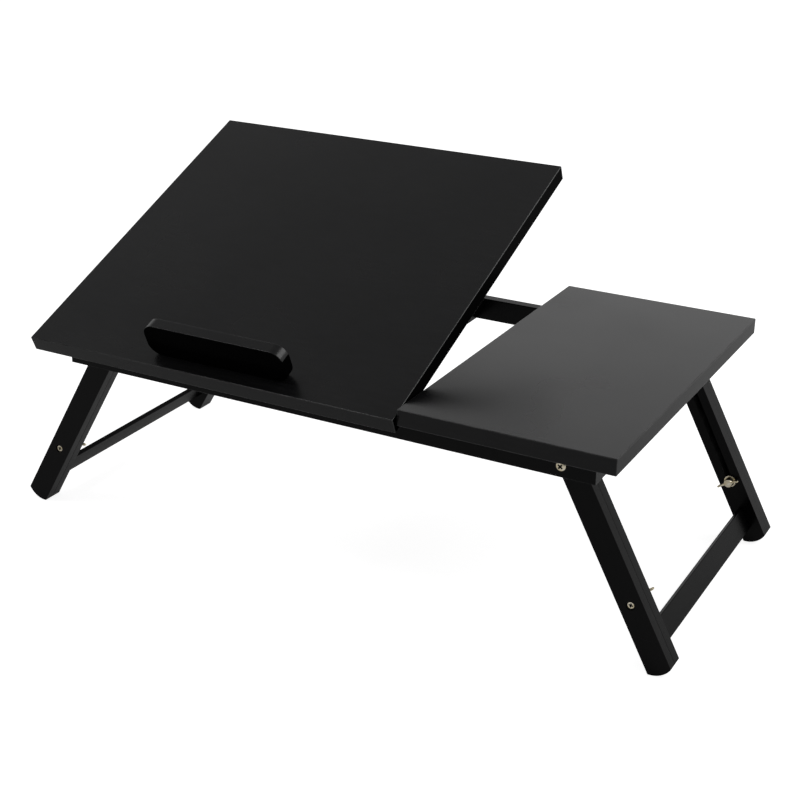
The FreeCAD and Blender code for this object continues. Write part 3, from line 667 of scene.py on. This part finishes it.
def coated_steel(name, gloss):
    """Black coating on steel, a little rougher than the lacquer."""
    nodes = new_finish(name)
    nodes.set("Specular IOR Level", gloss)
    base = finish_values().steel_colour
    fine = nodes.noise(nodes.coordinates(), *COATING_GRAIN)
    nodes.drive(nodes.blend(fine, *[scaled_colour(base, share) for share in COATING_SHADES]), "Base Color")
    nodes.drive(nodes.ramp(fine, MOST_OF_NOISE, COATING_ROUGHNESS), "Roughness")
    nodes.drive(nodes.bump(fine, *COATING_BUMP), "Normal")
    return nodes.owner


def bare_beech(name):
    """Bare beech of the hidden dowels, with short flecks along X."""
    nodes = new_finish(name)
    grain = nodes.noise(nodes.coordinates(stretch=BEECH_STRETCH), *BEECH_GRAIN)
    nodes.drive(nodes.blend(grain, DARK_BEECH, PALE_BEECH), "Base Color")
    nodes.set("Roughness", BEECH_ROUGHNESS)
    nodes.drive(nodes.bump(grain, *BEECH_BUMP), "Normal")
    return nodes.owner


def dress(node_name, finish):
    """Give a carried-over node its material."""
    data = frame["nodes"][node_name].data
    data.materials.clear()
    data.materials.append(finish)


# ---- operators -------------------------------------------------------------
class BEDTRAY_OT_lacquer(bpy.types.Operator):
    """Give every wooden piece its black lacquer, with the grain along the piece."""

    bl_idname = "bedtray.lacquer"
    bl_label = "Lacquer the wood"

    def execute(self, context):
        for name, turn, share, gloss in LACQUERS:
            finish = lacquer(name, (0.0, 0.0, turn), share, gloss)
            for node in LACQUERED_NODES.get(name, ()):
                dress(node, finish)
        for side in SIDES:
            direction = Vector(joint(side + "_leg_extend")["axis"])
            turn = ALONG_X.rotation_difference(direction).to_euler()
            lacquer(f"lacquer_along_{side}_legs", tuple(turn), FRAME_SHARE, FRAME_GLOSS)
        # the boards' rims: wear, and painted highlight along the edges
        rim_wear_and_highlight("worn_board_rim", RIM_GLOSS)
        rim_wear_and_highlight("worn_slot_wall", FRAME_GLOSS)
        return {"FINISHED"}


class BEDTRAY_OT_metal(bpy.types.Operator):
    """Give the hinges, the prop and the fasteners their metal, and the dowels their bare wood."""

    bl_idname = "bedtray.metal"
    bl_label = "Plate the metal"

    def execute(self, context):
        # dark coated steel for the faces inside the cross recesses, as painted shade
        coated_steel("dull_recess", RECESS_SHADE_GLOSS)
        finishes = {
            ZINC_SLOT: plated("yellow_zinc_plating"),
            STEEL_SLOT: coated_steel("black_coated_steel", COATING_GLOSS),
            DOWEL_SLOT: bare_beech("bare_beech"),
        }
        for entry in frame["record"]["subparts"]:
            if entry["material_slot"] in finishes:
                dress(entry["node"], finishes[entry["material_slot"]])
        return {"FINISHED"}


# ---- boards and stopper ----------------------------------------------------
def raised_turn():
    """The turn about the hinges that carries the flat tilting board to its raised rest position."""
    tilt = joint("board_tilt")
    anchor = Matrix.Translation(Vector(tilt["pos_m"]))
    return anchor @ Matrix.Rotation(radians(-tilt["range_deg"][0]), 4, "X") @ anchor.inverted()


def flat_box(node):
    """The box of a node of the tilting board when the board lies flat."""
    level = raised_turn().inverted()
    return box_of([level @ vertex.co for vertex in frame["nodes"][node].data.vertices])


def edged_board(low, high, radius):
    """A flat board of four finishes: its faces, its rounded rims, its edges and its right end."""
    board = block(low, high)
    add_finishes(board, [None] * 4)
    paint_faces(board, 2, lambda middle, normal: abs(normal.z) < SIDEWAYS)
    paint_faces(board, 3, lambda middle, normal: normal.x > SIDEWAYS)
    # the rounded rims take finish 1, paler as wear and as painted highlight
    modify(board, "BEVEL", width=radius, segments=4, material=1, limit_method="NONE")
    return board


class BEDTRAY_OT_boards(bpy.types.Operator):
    """Model the two boards, with rounded rims made paler, both as wear where the lacquer is rubbed thin and as
    painted highlight along the edges.
    """

    bl_idname = "bedtray.boards"
    bl_label = "Boards"

    def execute(self, context):
        radius = hardware_values().board_rim
        finishes = [material(name) for name in ("board_lacquer", "worn_board_rim", "board_edge_lacquer")]
        fixed = edged_board(*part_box("fixed_board"), radius)
        finished(fixed, "edged_fixed_board", finishes + [material("fixed_end_lacquer")], "frame",
                 ["fixed_board"])
        tilting = edged_board(*flat_box("tilt_board"), radius)
        tilting.data.transform(raised_turn())
        finished(tilting, "edged_tilting_board", finishes + [material("tilting_end_lacquer")],
                 "tilting_board", ["tilt_board"])
        return {"FINISHED"}


class BEDTRAY_OT_stopper(bpy.types.Operator):
    """Model the stopper plate that stands on the tilting board, its front and back darker as painted shade."""

    bl_idname = "bedtray.stopper"
    bl_label = "Stopper"

    def execute(self, context):
        plate = block(*flat_box("stopper"))
        choose_edges(plate, lambda a, b: abs(a.y - b.y) > NEAR)
        bpy.ops.mesh.bevel(offset=hardware_values().stopper_corner, offset_type="OFFSET", segments=16,
                           affect="EDGES")
        leave_edit()
        modify(plate, "BEVEL", width=STOPPER_RIM, segments=3, limit_method="ANGLE",
               angle_limit=CORNER_ANGLE)
        add_finishes(plate, [None] * 2)
        # painted shade: front and back faces keep the darker lacquer, faces turned up take the lit board lacquer
        paint_faces(plate, 1, lambda middle, normal: (abs(normal.y) < STOPPER_SHADED_FACING
                                                      and normal.z > STOPPER_LIT_FACING))
        plate.data.transform(raised_turn())
        finishes = [material("stopper_face_lacquer"), material("stopper_rim_lacquer")]
        finished(plate, "rounded_stopper", finishes, "tilting_board", ["stopper"])
        return {"FINISHED"}


# ---- legs ------------------------------------------------------------------
def across_bar(radius, start, end, distance, sides):
    """A round bar along Y at a distance down the leg."""
    bar = round_bar(radius, start, end, sides)
    bar.data.transform(Matrix.Translation((0.0, 0.0, -distance)) @ Matrix.Rotation(-pi / 2, 4, "X"))
    return bar


def leg_strip(half, start, end, top, corner, radius, foot_centre):
    """A strip hanging down from the pivot at the origin, with rounded top corners and a round foot."""
    strip = block((-half, start, -foot_centre - radius), (half, end, top))
    choose_edges(strip, lambda a, b: abs(a.y - b.y) > NEAR and a.z > top - NEAR)
    bpy.ops.mesh.bevel(offset=corner, offset_type="OFFSET", segments=14, affect="EDGES")
    leave_edit()
    mould = across_bar(radius, start - OVERSHOOT, end + OVERSHOOT, foot_centre, FOOT_SIDES)
    choose_faces(mould, lambda middle, normal: normal.z > NEAR)
    bpy.ops.mesh.extrude_region_move(TRANSFORM_OT_translate={"value": (0.0, 0.0, 2.0 * foot_centre)})
    leave_edit()
    combine(strip, mould, "INTERSECT")
    return strip


class BEDTRAY_OT_legs(bpy.types.Operator):
    """Model the two strips of each leg, the inner one slotted for its clamp bolt."""

    bl_idname = "bedtray.legs"
    bl_label = "Legs"

    def execute(self, context):
        values = hardware_values()
        half = values.leg_width / 2
        for side in SIDES:
            lacquered = material(f"lacquer_along_{side}_legs")
            finishes = [lacquered, material("worn_slot_wall")]
            pivot = Vector(joint(side + "_leg_fold")["pos_m"])
            along = Vector(joint(side + "_leg_extend")["axis"])
            foot = (values.foot_radius, (values.foot_radius - pivot.z) / along.z)
            place = Matrix.Translation((pivot.x, 0.0, pivot.z)) @ frame_along(-along, ALONG_X)
            for end in ENDS:
                clamp_down = (Vector(joint(f"{side}_{end}_nut_turn")["pos_m"]) - pivot).dot(along)
                upper_ys = [corner.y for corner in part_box(f"{side}_{end}_upper_leg")]
                lower_ys = [corner.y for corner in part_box(f"{side}_{end}_lower_leg")]
                upper = leg_strip(half, *upper_ys, half, half - NEAR, *foot)
                outer, inward = (upper_ys[0], 1.0) if end == "front" else (upper_ys[1], -1.0)
                mouth = sorted((outer - inward * OVERSHOOT, outer + inward * MOUTH_DEPTH))
                combine(upper, across_bar(MOUTH_RADIUS, *mouth, clamp_down, MOUTH_SIDES), "DIFFERENCE")
                bore = across_bar(BORE_RADIUS, upper_ys[0] + BORE_SKIN, upper_ys[1] - BORE_SKIN, clamp_down,
                                  BORE_SIDES)
                combine(upper, bore, "DIFFERENCE")
                self.round_off(upper, place)
                finished(upper, f"{side}_{end}_outer_strip", [lacquered], side + "_upper_legs",
                         [f"{side}_{end}_upper_leg"])
                if end == "front":
                    lower_ys[0] = upper_ys[1] + SEAM_GAP
                else:
                    lower_ys[1] = upper_ys[0] - SEAM_GAP
                lower = leg_strip(half, *lower_ys, -values.lower_leg_top, values.lower_leg_corner, *foot)
                cut_with_finish(lower, self.slot_tool(lower_ys, clamp_down), finishes)
                self.round_off(lower, place)
                finished(lower, f"{side}_{end}_slotted_strip", finishes, side + "_lower_legs",
                         [f"{side}_{end}_lower_leg"])
        return {"FINISHED"}

    def slot_tool(self, ys, clamp_down):
        """A tool for the long slot, round at both ends, that the clamp bolt runs in."""
        values = hardware_values()
        half = values.slot_width / 2
        play = half - values.bolt_radius
        start = ys[0] - OVERSHOOT
        end = ys[1] + OVERSHOOT
        top = clamp_down - joint("left_leg_extend")["range_m"][1] - play
        bottom = clamp_down + play
        slot = block((-half, start, -bottom), (half, end, -top))
        for distance in (top, bottom):
            combine(slot, across_bar(half, start, end, distance, SLOT_SIDES), "UNION")
        return slot

    def round_off(self, strip, place):
        """Break a strip's edges and carry it to its leg."""
        modify(strip, "BEVEL", width=hardware_values().leg_rim, segments=2, limit_method="ANGLE",
               angle_limit=CORNER_ANGLE)
        strip.data.transform(place)


# ---- fasteners -------------------------------------------------------------
def recess_turns():
    """The turns at which the driver left the cross recesses, one after another."""
    square, step, first = RECESS_SERIES
    index = 0
    while True:
        yield radians((square * index * index + step * index + first) % 90.0)
        index += 1


def plating_and_recess_shade():
    # the plating, and dark steel for the recess faces as painted shade
    return [material("yellow_zinc_plating"), material("dull_recess")]


def depth_of(node):
    """How far the first solid of a node reaches across the table."""
    low, high = solid_boxes(node)[0]
    return high.y - low.y


def outer_end(low, high):
    """The way out of the table at a fastener across its depth, and the middle of its outer end."""
    outward = -ALONG_Y if low.y + high.y < 0.0 else ALONG_Y
    face = low.y if outward.y < 0.0 else high.y
    return outward, Vector(((low.x + high.x) / 2, face, (low.z + high.z) / 2))


def stood(model, boxes, across, outwards=-1.0, turns=None, used_up=True):
    """Copies of a model at the outer ends of boxes, in one piece, each turned by the next of some turns."""
    copies = []
    for low, high in boxes:
        outward, middle = outer_end(low, high)
        turn = frame_along(outwards * outward, across)
        if turns is not None:
            turn = turn @ Matrix.Rotation(next(turns), 4, "Z")
        copies.append(copy_at(model, Matrix.Translation(middle) @ turn))
    if used_up:
        bpy.data.objects.remove(model)
    return joined(copies)


def pan_head_bolt(shank):
    """A pan-head bolt: its head stands on the plane at height zero and its shank hangs below."""
    values = hardware_values()
    bolt = round_bar(values.pan_radius, 0.0, values.pan_height, values.ring_sides)
    bevel_ring(bolt, values.pan_height, PAN_DOME_SHARE * values.pan_height, 7, PAN_PROFILE)
    bevel_ring(bolt, 0.0, PAN_FOOT_RIM, 2)
    recess = cross_tool(PAN_RECESS_SHARE * values.pan_radius, values.recess_width, PAN_RECESS_DEPTH,
                        values.pan_height)
    # the recess faces take the dark steel as painted shade
    cut_with_finish(bolt, recess, plating_and_recess_shade())
    combine(bolt, threaded_bar(values.bolt_radius, -shank, SHANK_ROOT), "UNION")
    return bolt


def sunk_head_bolt(head_depth, shank_radius, shank, recess_length, tip=0.0):
    """A countersunk bolt or screw: its head's face lies at height zero."""
    bolt = round_cone(SUNK_NECK_SHARE * shank_radius, SUNK_HEAD_RADIUS, -head_depth, 0.0,
                      hardware_values().ring_sides)
    bevel_ring(bolt, 0.0, SUNK_RIM, 2)
    shaft = threaded_bar(shank_radius, tip - shank, -SUNK_SHANK_SHARE * head_depth)
    if tip > 0.0:
        choose_faces(shaft, lambda middle, normal: normal.z < SCREW_END_FACING)
        bpy.ops.mesh.extrude_region_move(TRANSFORM_OT_translate={"value": (0.0, 0.0, -tip)})
        bpy.ops.transform.resize(value=(SCREW_POINT_SHARE, SCREW_POINT_SHARE, 1.0),
                                 center_override=(0.0, 0.0, -shank))
        leave_edit()
    combine(bolt, shaft, "UNION")
    recess = cross_tool(recess_length, SUNK_RECESS_SHARE * recess_length, SUNK_RECESS_DEPTH, 0.0)
    # the recess faces take the dark steel as painted shade
    cut_with_finish(bolt, recess, plating_and_recess_shade())
    return bolt


def washer_ring(radius, bore, thickness):
    """A flat washer standing on height zero, with its rims broken."""
    sides = hardware_values().ring_sides
    ring = round_bar(radius, 0.0, thickness, sides)
    for height in (thickness, 0.0):
        bevel_ring(ring, height, RING_RIM_SHARE * thickness, 2)
    combine(ring, round_bar(bore, -thickness, 2.0 * thickness, sides), "DIFFERENCE")
    return ring


def hexagon_nut():
    """A hexagon nut standing on height zero, chamfered at both faces, with a threaded bore."""
    values = hardware_values()
    corner = values.nut_flats / 2 / cos(pi / 6)
    nut = round_bar(corner, 0.0, values.nut_height, 6)
    rim = round_bar(corner, 0.0, values.nut_height, values.ring_sides)
    for height in (0.0, values.nut_height):
        bevel_ring(rim, height, NUT_CHAMFER, 1)
    combine(nut, rim, "INTERSECT")
    bore = threaded_bar(values.bolt_radius, -values.thread_pitch, values.nut_height + values.thread_pitch)
    combine(nut, bore, "DIFFERENCE")
    return nut


def cast_wing_nut():
    """A cast wing nut standing on height zero, its wings along X."""
    values = hardware_values()
    height = values.wing_nut_height
    radius = values.wing_nut_radius
    half = values.wing_span / 2
    nut = round_cone(radius, BOSS_TAPER * radius, 0.0, height, values.ring_sides)
    start, end = [share * radius for share in WING_ROOT]
    wing = block((start, -WING_HALF_THICKNESS, WING_FOOT),
                 (end, WING_HALF_THICKNESS, WING_ROOT_SHARE * height))
    for out, up, thinning in WING_STEPS:
        outer = max(vertex.co.x for vertex in wing.data.vertices)
        choose_faces(wing, lambda middle, normal: normal.x > WING_FACING and middle.x > outer - WING_END)
        move = (out * half, 0.0, up * values.wing_height)
        bpy.ops.mesh.extrude_region_move(TRANSFORM_OT_translate={"value": move})
        bpy.ops.transform.resize(value=(1.0, thinning, thinning))
        leave_edit()
    other = copy_at(wing, Matrix.Rotation(pi, 4, "Z"))
    combine(nut, wing, "UNION")
    combine(nut, other, "UNION")
    modify(nut, "REMESH", mode="VOXEL", voxel_size=CAST_GRAIN)
    modify(nut, "SMOOTH", factor=0.5, iterations=6)
    bore = threaded_bar(values.bolt_radius + THREAD_PLAY, -values.thread_pitch, values.wing_height)
    combine(nut, bore, "DIFFERENCE")
    return nut


class BEDTRAY_OT_pivot_fasteners(bpy.types.Operator):
    """Model the bolts that the legs turn on, with their washers and nuts."""

    bl_idname = "bedtray.pivot_fasteners"
    bl_label = "Pivot bolts"

    def execute(self, context):
        front_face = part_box("front_rail")[0].y
        rear_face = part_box("rear_rail")[1].y
        boxes = solid_boxes("pivot_bolts")
        model = pan_head_bolt(boxes[0][1].y - front_face)
        for low, high in boxes:
            if low.y + high.y < 0.0:
                low.y = front_face
            else:
                high.y = rear_face
        bolts = stood(model, boxes, ALONG_X, 1.0, recess_turns())
        finished(bolts, "pan_head_pivot_bolts", plating_and_recess_shade(), "frame", ["pivot_bolts"])
        plating = plating_and_recess_shade()[:1]
        for node, radius in RING_RADII.items():
            ring = washer_ring(radius, hardware_values().bolt_radius, depth_of(node))
            finished(stood(ring, solid_boxes(node), ALONG_X), "rimmed_" + node, plating, "frame",
                     [node])
        nuts = stood(hexagon_nut(), solid_boxes("pivot_nuts"), ALONG_X)
        finished(nuts, "hexagon_pivot_nuts", plating, "frame", ["pivot_nuts"])
        return {"FINISHED"}


class BEDTRAY_OT_clamp_fasteners(bpy.types.Operator):
    """Model the clamp bolts of the legs, with their washers and wing nuts."""

    bl_idname = "bedtray.clamp_fasteners"
    bl_label = "Clamp bolts and wing nuts"

    def execute(self, context):
        radius = hardware_values().bolt_radius
        plating = plating_and_recess_shade()[:1]
        turns = recess_turns()
        bolt = sunk_head_bolt(CLAMP_HEAD_DEPTH, radius, depth_of("left_clamp_bolts"), CLAMP_RECESS)
        ring = washer_ring(CLAMP_RING_RADIUS, radius + THREAD_PLAY, depth_of("left_clamp_washers"))
        nut = cast_wing_nut()
        for side in SIDES:
            last = side == SIDES[-1]
            leg = Vector(joint(side + "_leg_extend")["axis"])
            node = side + "_clamp_bolts"
            bolts = stood(bolt, solid_boxes(node), leg, 1.0, turns, last)
            finished(bolts, side + "_sunk_head_clamp_bolts", plating_and_recess_shade(), side + "_upper_legs",
                     [node])
            node = side + "_clamp_washers"
            rings = stood(ring, solid_boxes(node), leg, used_up=last)
            finished(rings, side + "_rimmed_clamp_washers", plating, side + "_upper_legs",
                     [node])
            for end in ENDS:
                node = f"{side}_{end}_wing_nut"
                outward, middle = outer_end(*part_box(node))
                middle.x, _, middle.z = joint(f"{side}_{end}_nut_turn")["pos_m"]
                place = Matrix.Translation(middle) @ frame_along(-outward, leg.cross(ALONG_Y))
                finished(copy_at(nut, place), f"{side}_{end}_cast_wing_nut", plating, f"{side}_{end}_nut",
                         [node])
        bpy.data.objects.remove(nut)
        return {"FINISHED"}


class BEDTRAY_OT_wood_screws(bpy.types.Operator):
    """Model the countersunk screws of the hinges, the prop, the racks and the stopper."""

    bl_idname = "bedtray.wood_screws"
    bl_label = "Wood screws"

    def execute(self, context):
        turns = recess_turns()
        models = {}
        for node, axis in SCREW_AXES.items():
            body, turn, across = "frame", Matrix.Identity(4), ALONG_Z
            if axis == 2:
                body, turn, across = "tilting_board", raised_turn(), ALONG_X
            screws = []
            for low, high in solid_boxes(node, turn.inverted()):
                length = round(high[axis] - low[axis], 4)
                if length not in models:
                    models[length] = sunk_head_bolt(SCREW_HEAD_DEPTH, SCREW_RADIUS, length, SCREW_RECESS,
                                                    SCREW_TIP)
                middle = (low + high) / 2
                outward = Vector((0.0, 0.0, 0.0))
                outward[axis] = 1.0 if node == "rack_screws" and middle.x < RACK_BORDER else -1.0
                middle[axis] = high[axis] if outward[axis] > 0.0 else low[axis]
                place = Matrix.Translation(middle) @ frame_along(outward, across)
                screws.append(copy_at(models[length], turn @ place @ Matrix.Rotation(next(turns), 4, "Z")))
            finished(joined(screws), "sunk_head_" + node, plating_and_recess_shade(), body, [node])
        for model in models.values():
            bpy.data.objects.remove(model)
        return {"FINISHED"}


# ---- studio ----------------------------------------------------------------
def studio_world():
    """A pale studio: white behind all that the camera sees, a soft wall and ceiling for the light."""
    values = studio_values()
    nodes = Nodes(bpy.data.worlds.new("studio"), "Background")
    bpy.context.scene.world = nodes.owner
    nodes.set("Color", (1.0, 1.0, 1.0, 1.0))
    split = nodes.add("SeparateXYZ")
    nodes.join(nodes.add("TexCoord").outputs["Generated"], split.inputs["Vector"])
    wall = nodes.ramp(split.outputs["Y"], WALL_RANGE, (values.front_light, values.back_light), "SMOOTHSTEP")
    light = nodes.ramp(split.outputs["Z"], CEILING_RANGE, (0.0, values.ceiling_light), "SMOOTHSTEP")
    nodes.join(wall, light.node.inputs["To Min"])
    seen = nodes.add("Mix")
    nodes.join(nodes.add("LightPath").outputs["Is Camera Ray"], seen.inputs["Factor"])
    nodes.join(light, seen.inputs["A"])
    seen.inputs["B"].default_value = 1.0
    nodes.drive(seen.outputs["Result"], "Strength")


def studio_floor():
    """A pale floor, shown white to the camera but for the table's faint shadow."""
    deselect()
    bpy.ops.mesh.primitive_plane_add(size=FLOOR_WIDTH, location=(0.0, 0.0, -FLOOR_DROP))
    floor = bpy.context.object
    floor.name = "floor"
    nodes = new_finish("studio_floor")
    nodes.set("Base Color", (FLOOR_GREY, FLOOR_GREY, FLOOR_GREY, 1.0))
    nodes.set("Roughness", FLOOR_ROUGHNESS)
    nodes.set("Specular IOR Level", FLOOR_GLOSS)
    nodes.set("Emission Color", (1.0, 1.0, 1.0, 1.0))
    path = nodes.add("LightPath")
    seen, mirrored, through = [nodes.ramp(path.outputs[ray], (0.0, 1.0), (0.0, glow))
                               for ray, glow in FLOOR_GLOWS]
    nodes.drive(nodes.total(nodes.total(seen, mirrored), through), "Emission Strength")
    floor.data.materials.append(nodes.owner)


def soft_lamp(name, place, width, power):
    deselect()
    bpy.ops.object.light_add(type="AREA", location=place)
    lamp = bpy.context.object
    lamp.name = name
    lamp.data.shape = "RECTANGLE"
    lamp.data.size = width
    lamp.data.size_y = width
    lamp.data.energy = power
    aim = Vector(LAMP_TARGET) - Vector(place)
    lamp.rotation_euler = aim.to_track_quat("-Z", "Y").to_euler()


class BEDTRAY_OT_studio(bpy.types.Operator):
    """Set up the floor, the light and the camera."""

    bl_idname = "bedtray.studio"
    bl_label = "Set up the studio"

    def execute(self, context):
        values = studio_values()
        studio_world()
        studio_floor()
        for name, place, width, power in LAMPS:
            soft_lamp(name, place, width, getattr(values, power))
        azimuth = values.azimuth
        elevation = values.elevation
        forward = Vector((-sin(azimuth) * cos(elevation), cos(azimuth) * cos(elevation), -sin(elevation)))
        right = forward.cross(ALONG_Z).normalized()
        upward = right.cross(forward)
        rolled_right = right * cos(values.roll) + upward * sin(values.roll)
        rolled_up = upward * cos(values.roll) - right * sin(values.roll)
        deselect()
        bpy.ops.object.camera_add()
        camera = bpy.context.object
        camera.name = "camera"
        axes = Matrix((rolled_right, rolled_up, -forward)).transposed().to_4x4()
        camera.matrix_world = Matrix.Translation(Vector(values.camera_place)) @ axes
        camera.data.lens = values.lens
        camera.data.sensor_width = FILM_WIDTH
        context.scene.camera = camera
        context.scene.view_settings.view_transform = "Standard"
        return {"FINISHED"}


class BEDTRAY_PT_sidebar(bpy.types.Panel):
    """The table's steps and values."""

    bl_idname = "BEDTRAY_PT_sidebar"
    bl_label = "Bed Tray Table"
    bl_space_type = "VIEW_3D"
    bl_region_type = "UI"
    bl_category = "Bed Tray"

    def draw(self, context):
        for group in (finish_values(), hardware_values(), studio_values()):
            box = self.layout.box()
            for key in group.bl_rna.properties.keys():
                if key not in ("rna_type", "name"):
                    box.prop(group, key)
        for operator in PIECE_OPERATORS:
            self.layout.operator(operator.bl_idname)


PIECE_OPERATORS = (
    BEDTRAY_OT_lacquer,
    BEDTRAY_OT_metal,
    BEDTRAY_OT_boards,
    BEDTRAY_OT_stopper,
    BEDTRAY_OT_legs,
    BEDTRAY_OT_pivot_fasteners,
    BEDTRAY_OT_clamp_fasteners,
    BEDTRAY_OT_wood_screws,
    BEDTRAY_OT_studio,
)
GROUPS = (BedTrayFinish, BedTrayHardware, BedTrayStudio)


def register():
    for group in GROUPS:
        bpy.utils.register_class(group)
    for operator in PIECE_OPERATORS:
        bpy.utils.register_class(operator)
    bpy.utils.register_class(BEDTRAY_PT_sidebar)
    bpy.types.Scene.bed_tray_finish = PointerProperty(type=BedTrayFinish)
    bpy.types.Scene.bed_tray_hardware = PointerProperty(type=BedTrayHardware)
    bpy.types.Scene.bed_tray_studio = PointerProperty(type=BedTrayStudio)


def unregister():
    del bpy.types.Scene.bed_tray_studio
    del bpy.types.Scene.bed_tray_hardware
    del bpy.types.Scene.bed_tray_finish
    bpy.utils.unregister_class(BEDTRAY_PT_sidebar)
    for operator in reversed(PIECE_OPERATORS):
        bpy.utils.unregister_class(operator)
    for group in reversed(GROUPS):
        bpy.utils.unregister_class(group)


def write_sizes():
    """Bring the scene's placements up to date."""
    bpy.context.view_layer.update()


def main():
    register()
    for operator in PIECE_OPERATORS:
        group, name = operator.bl_idname.split(".")
        getattr(getattr(bpy.ops, group), name)()
    write_sizes()


if __name__ == "__main__":
    main()
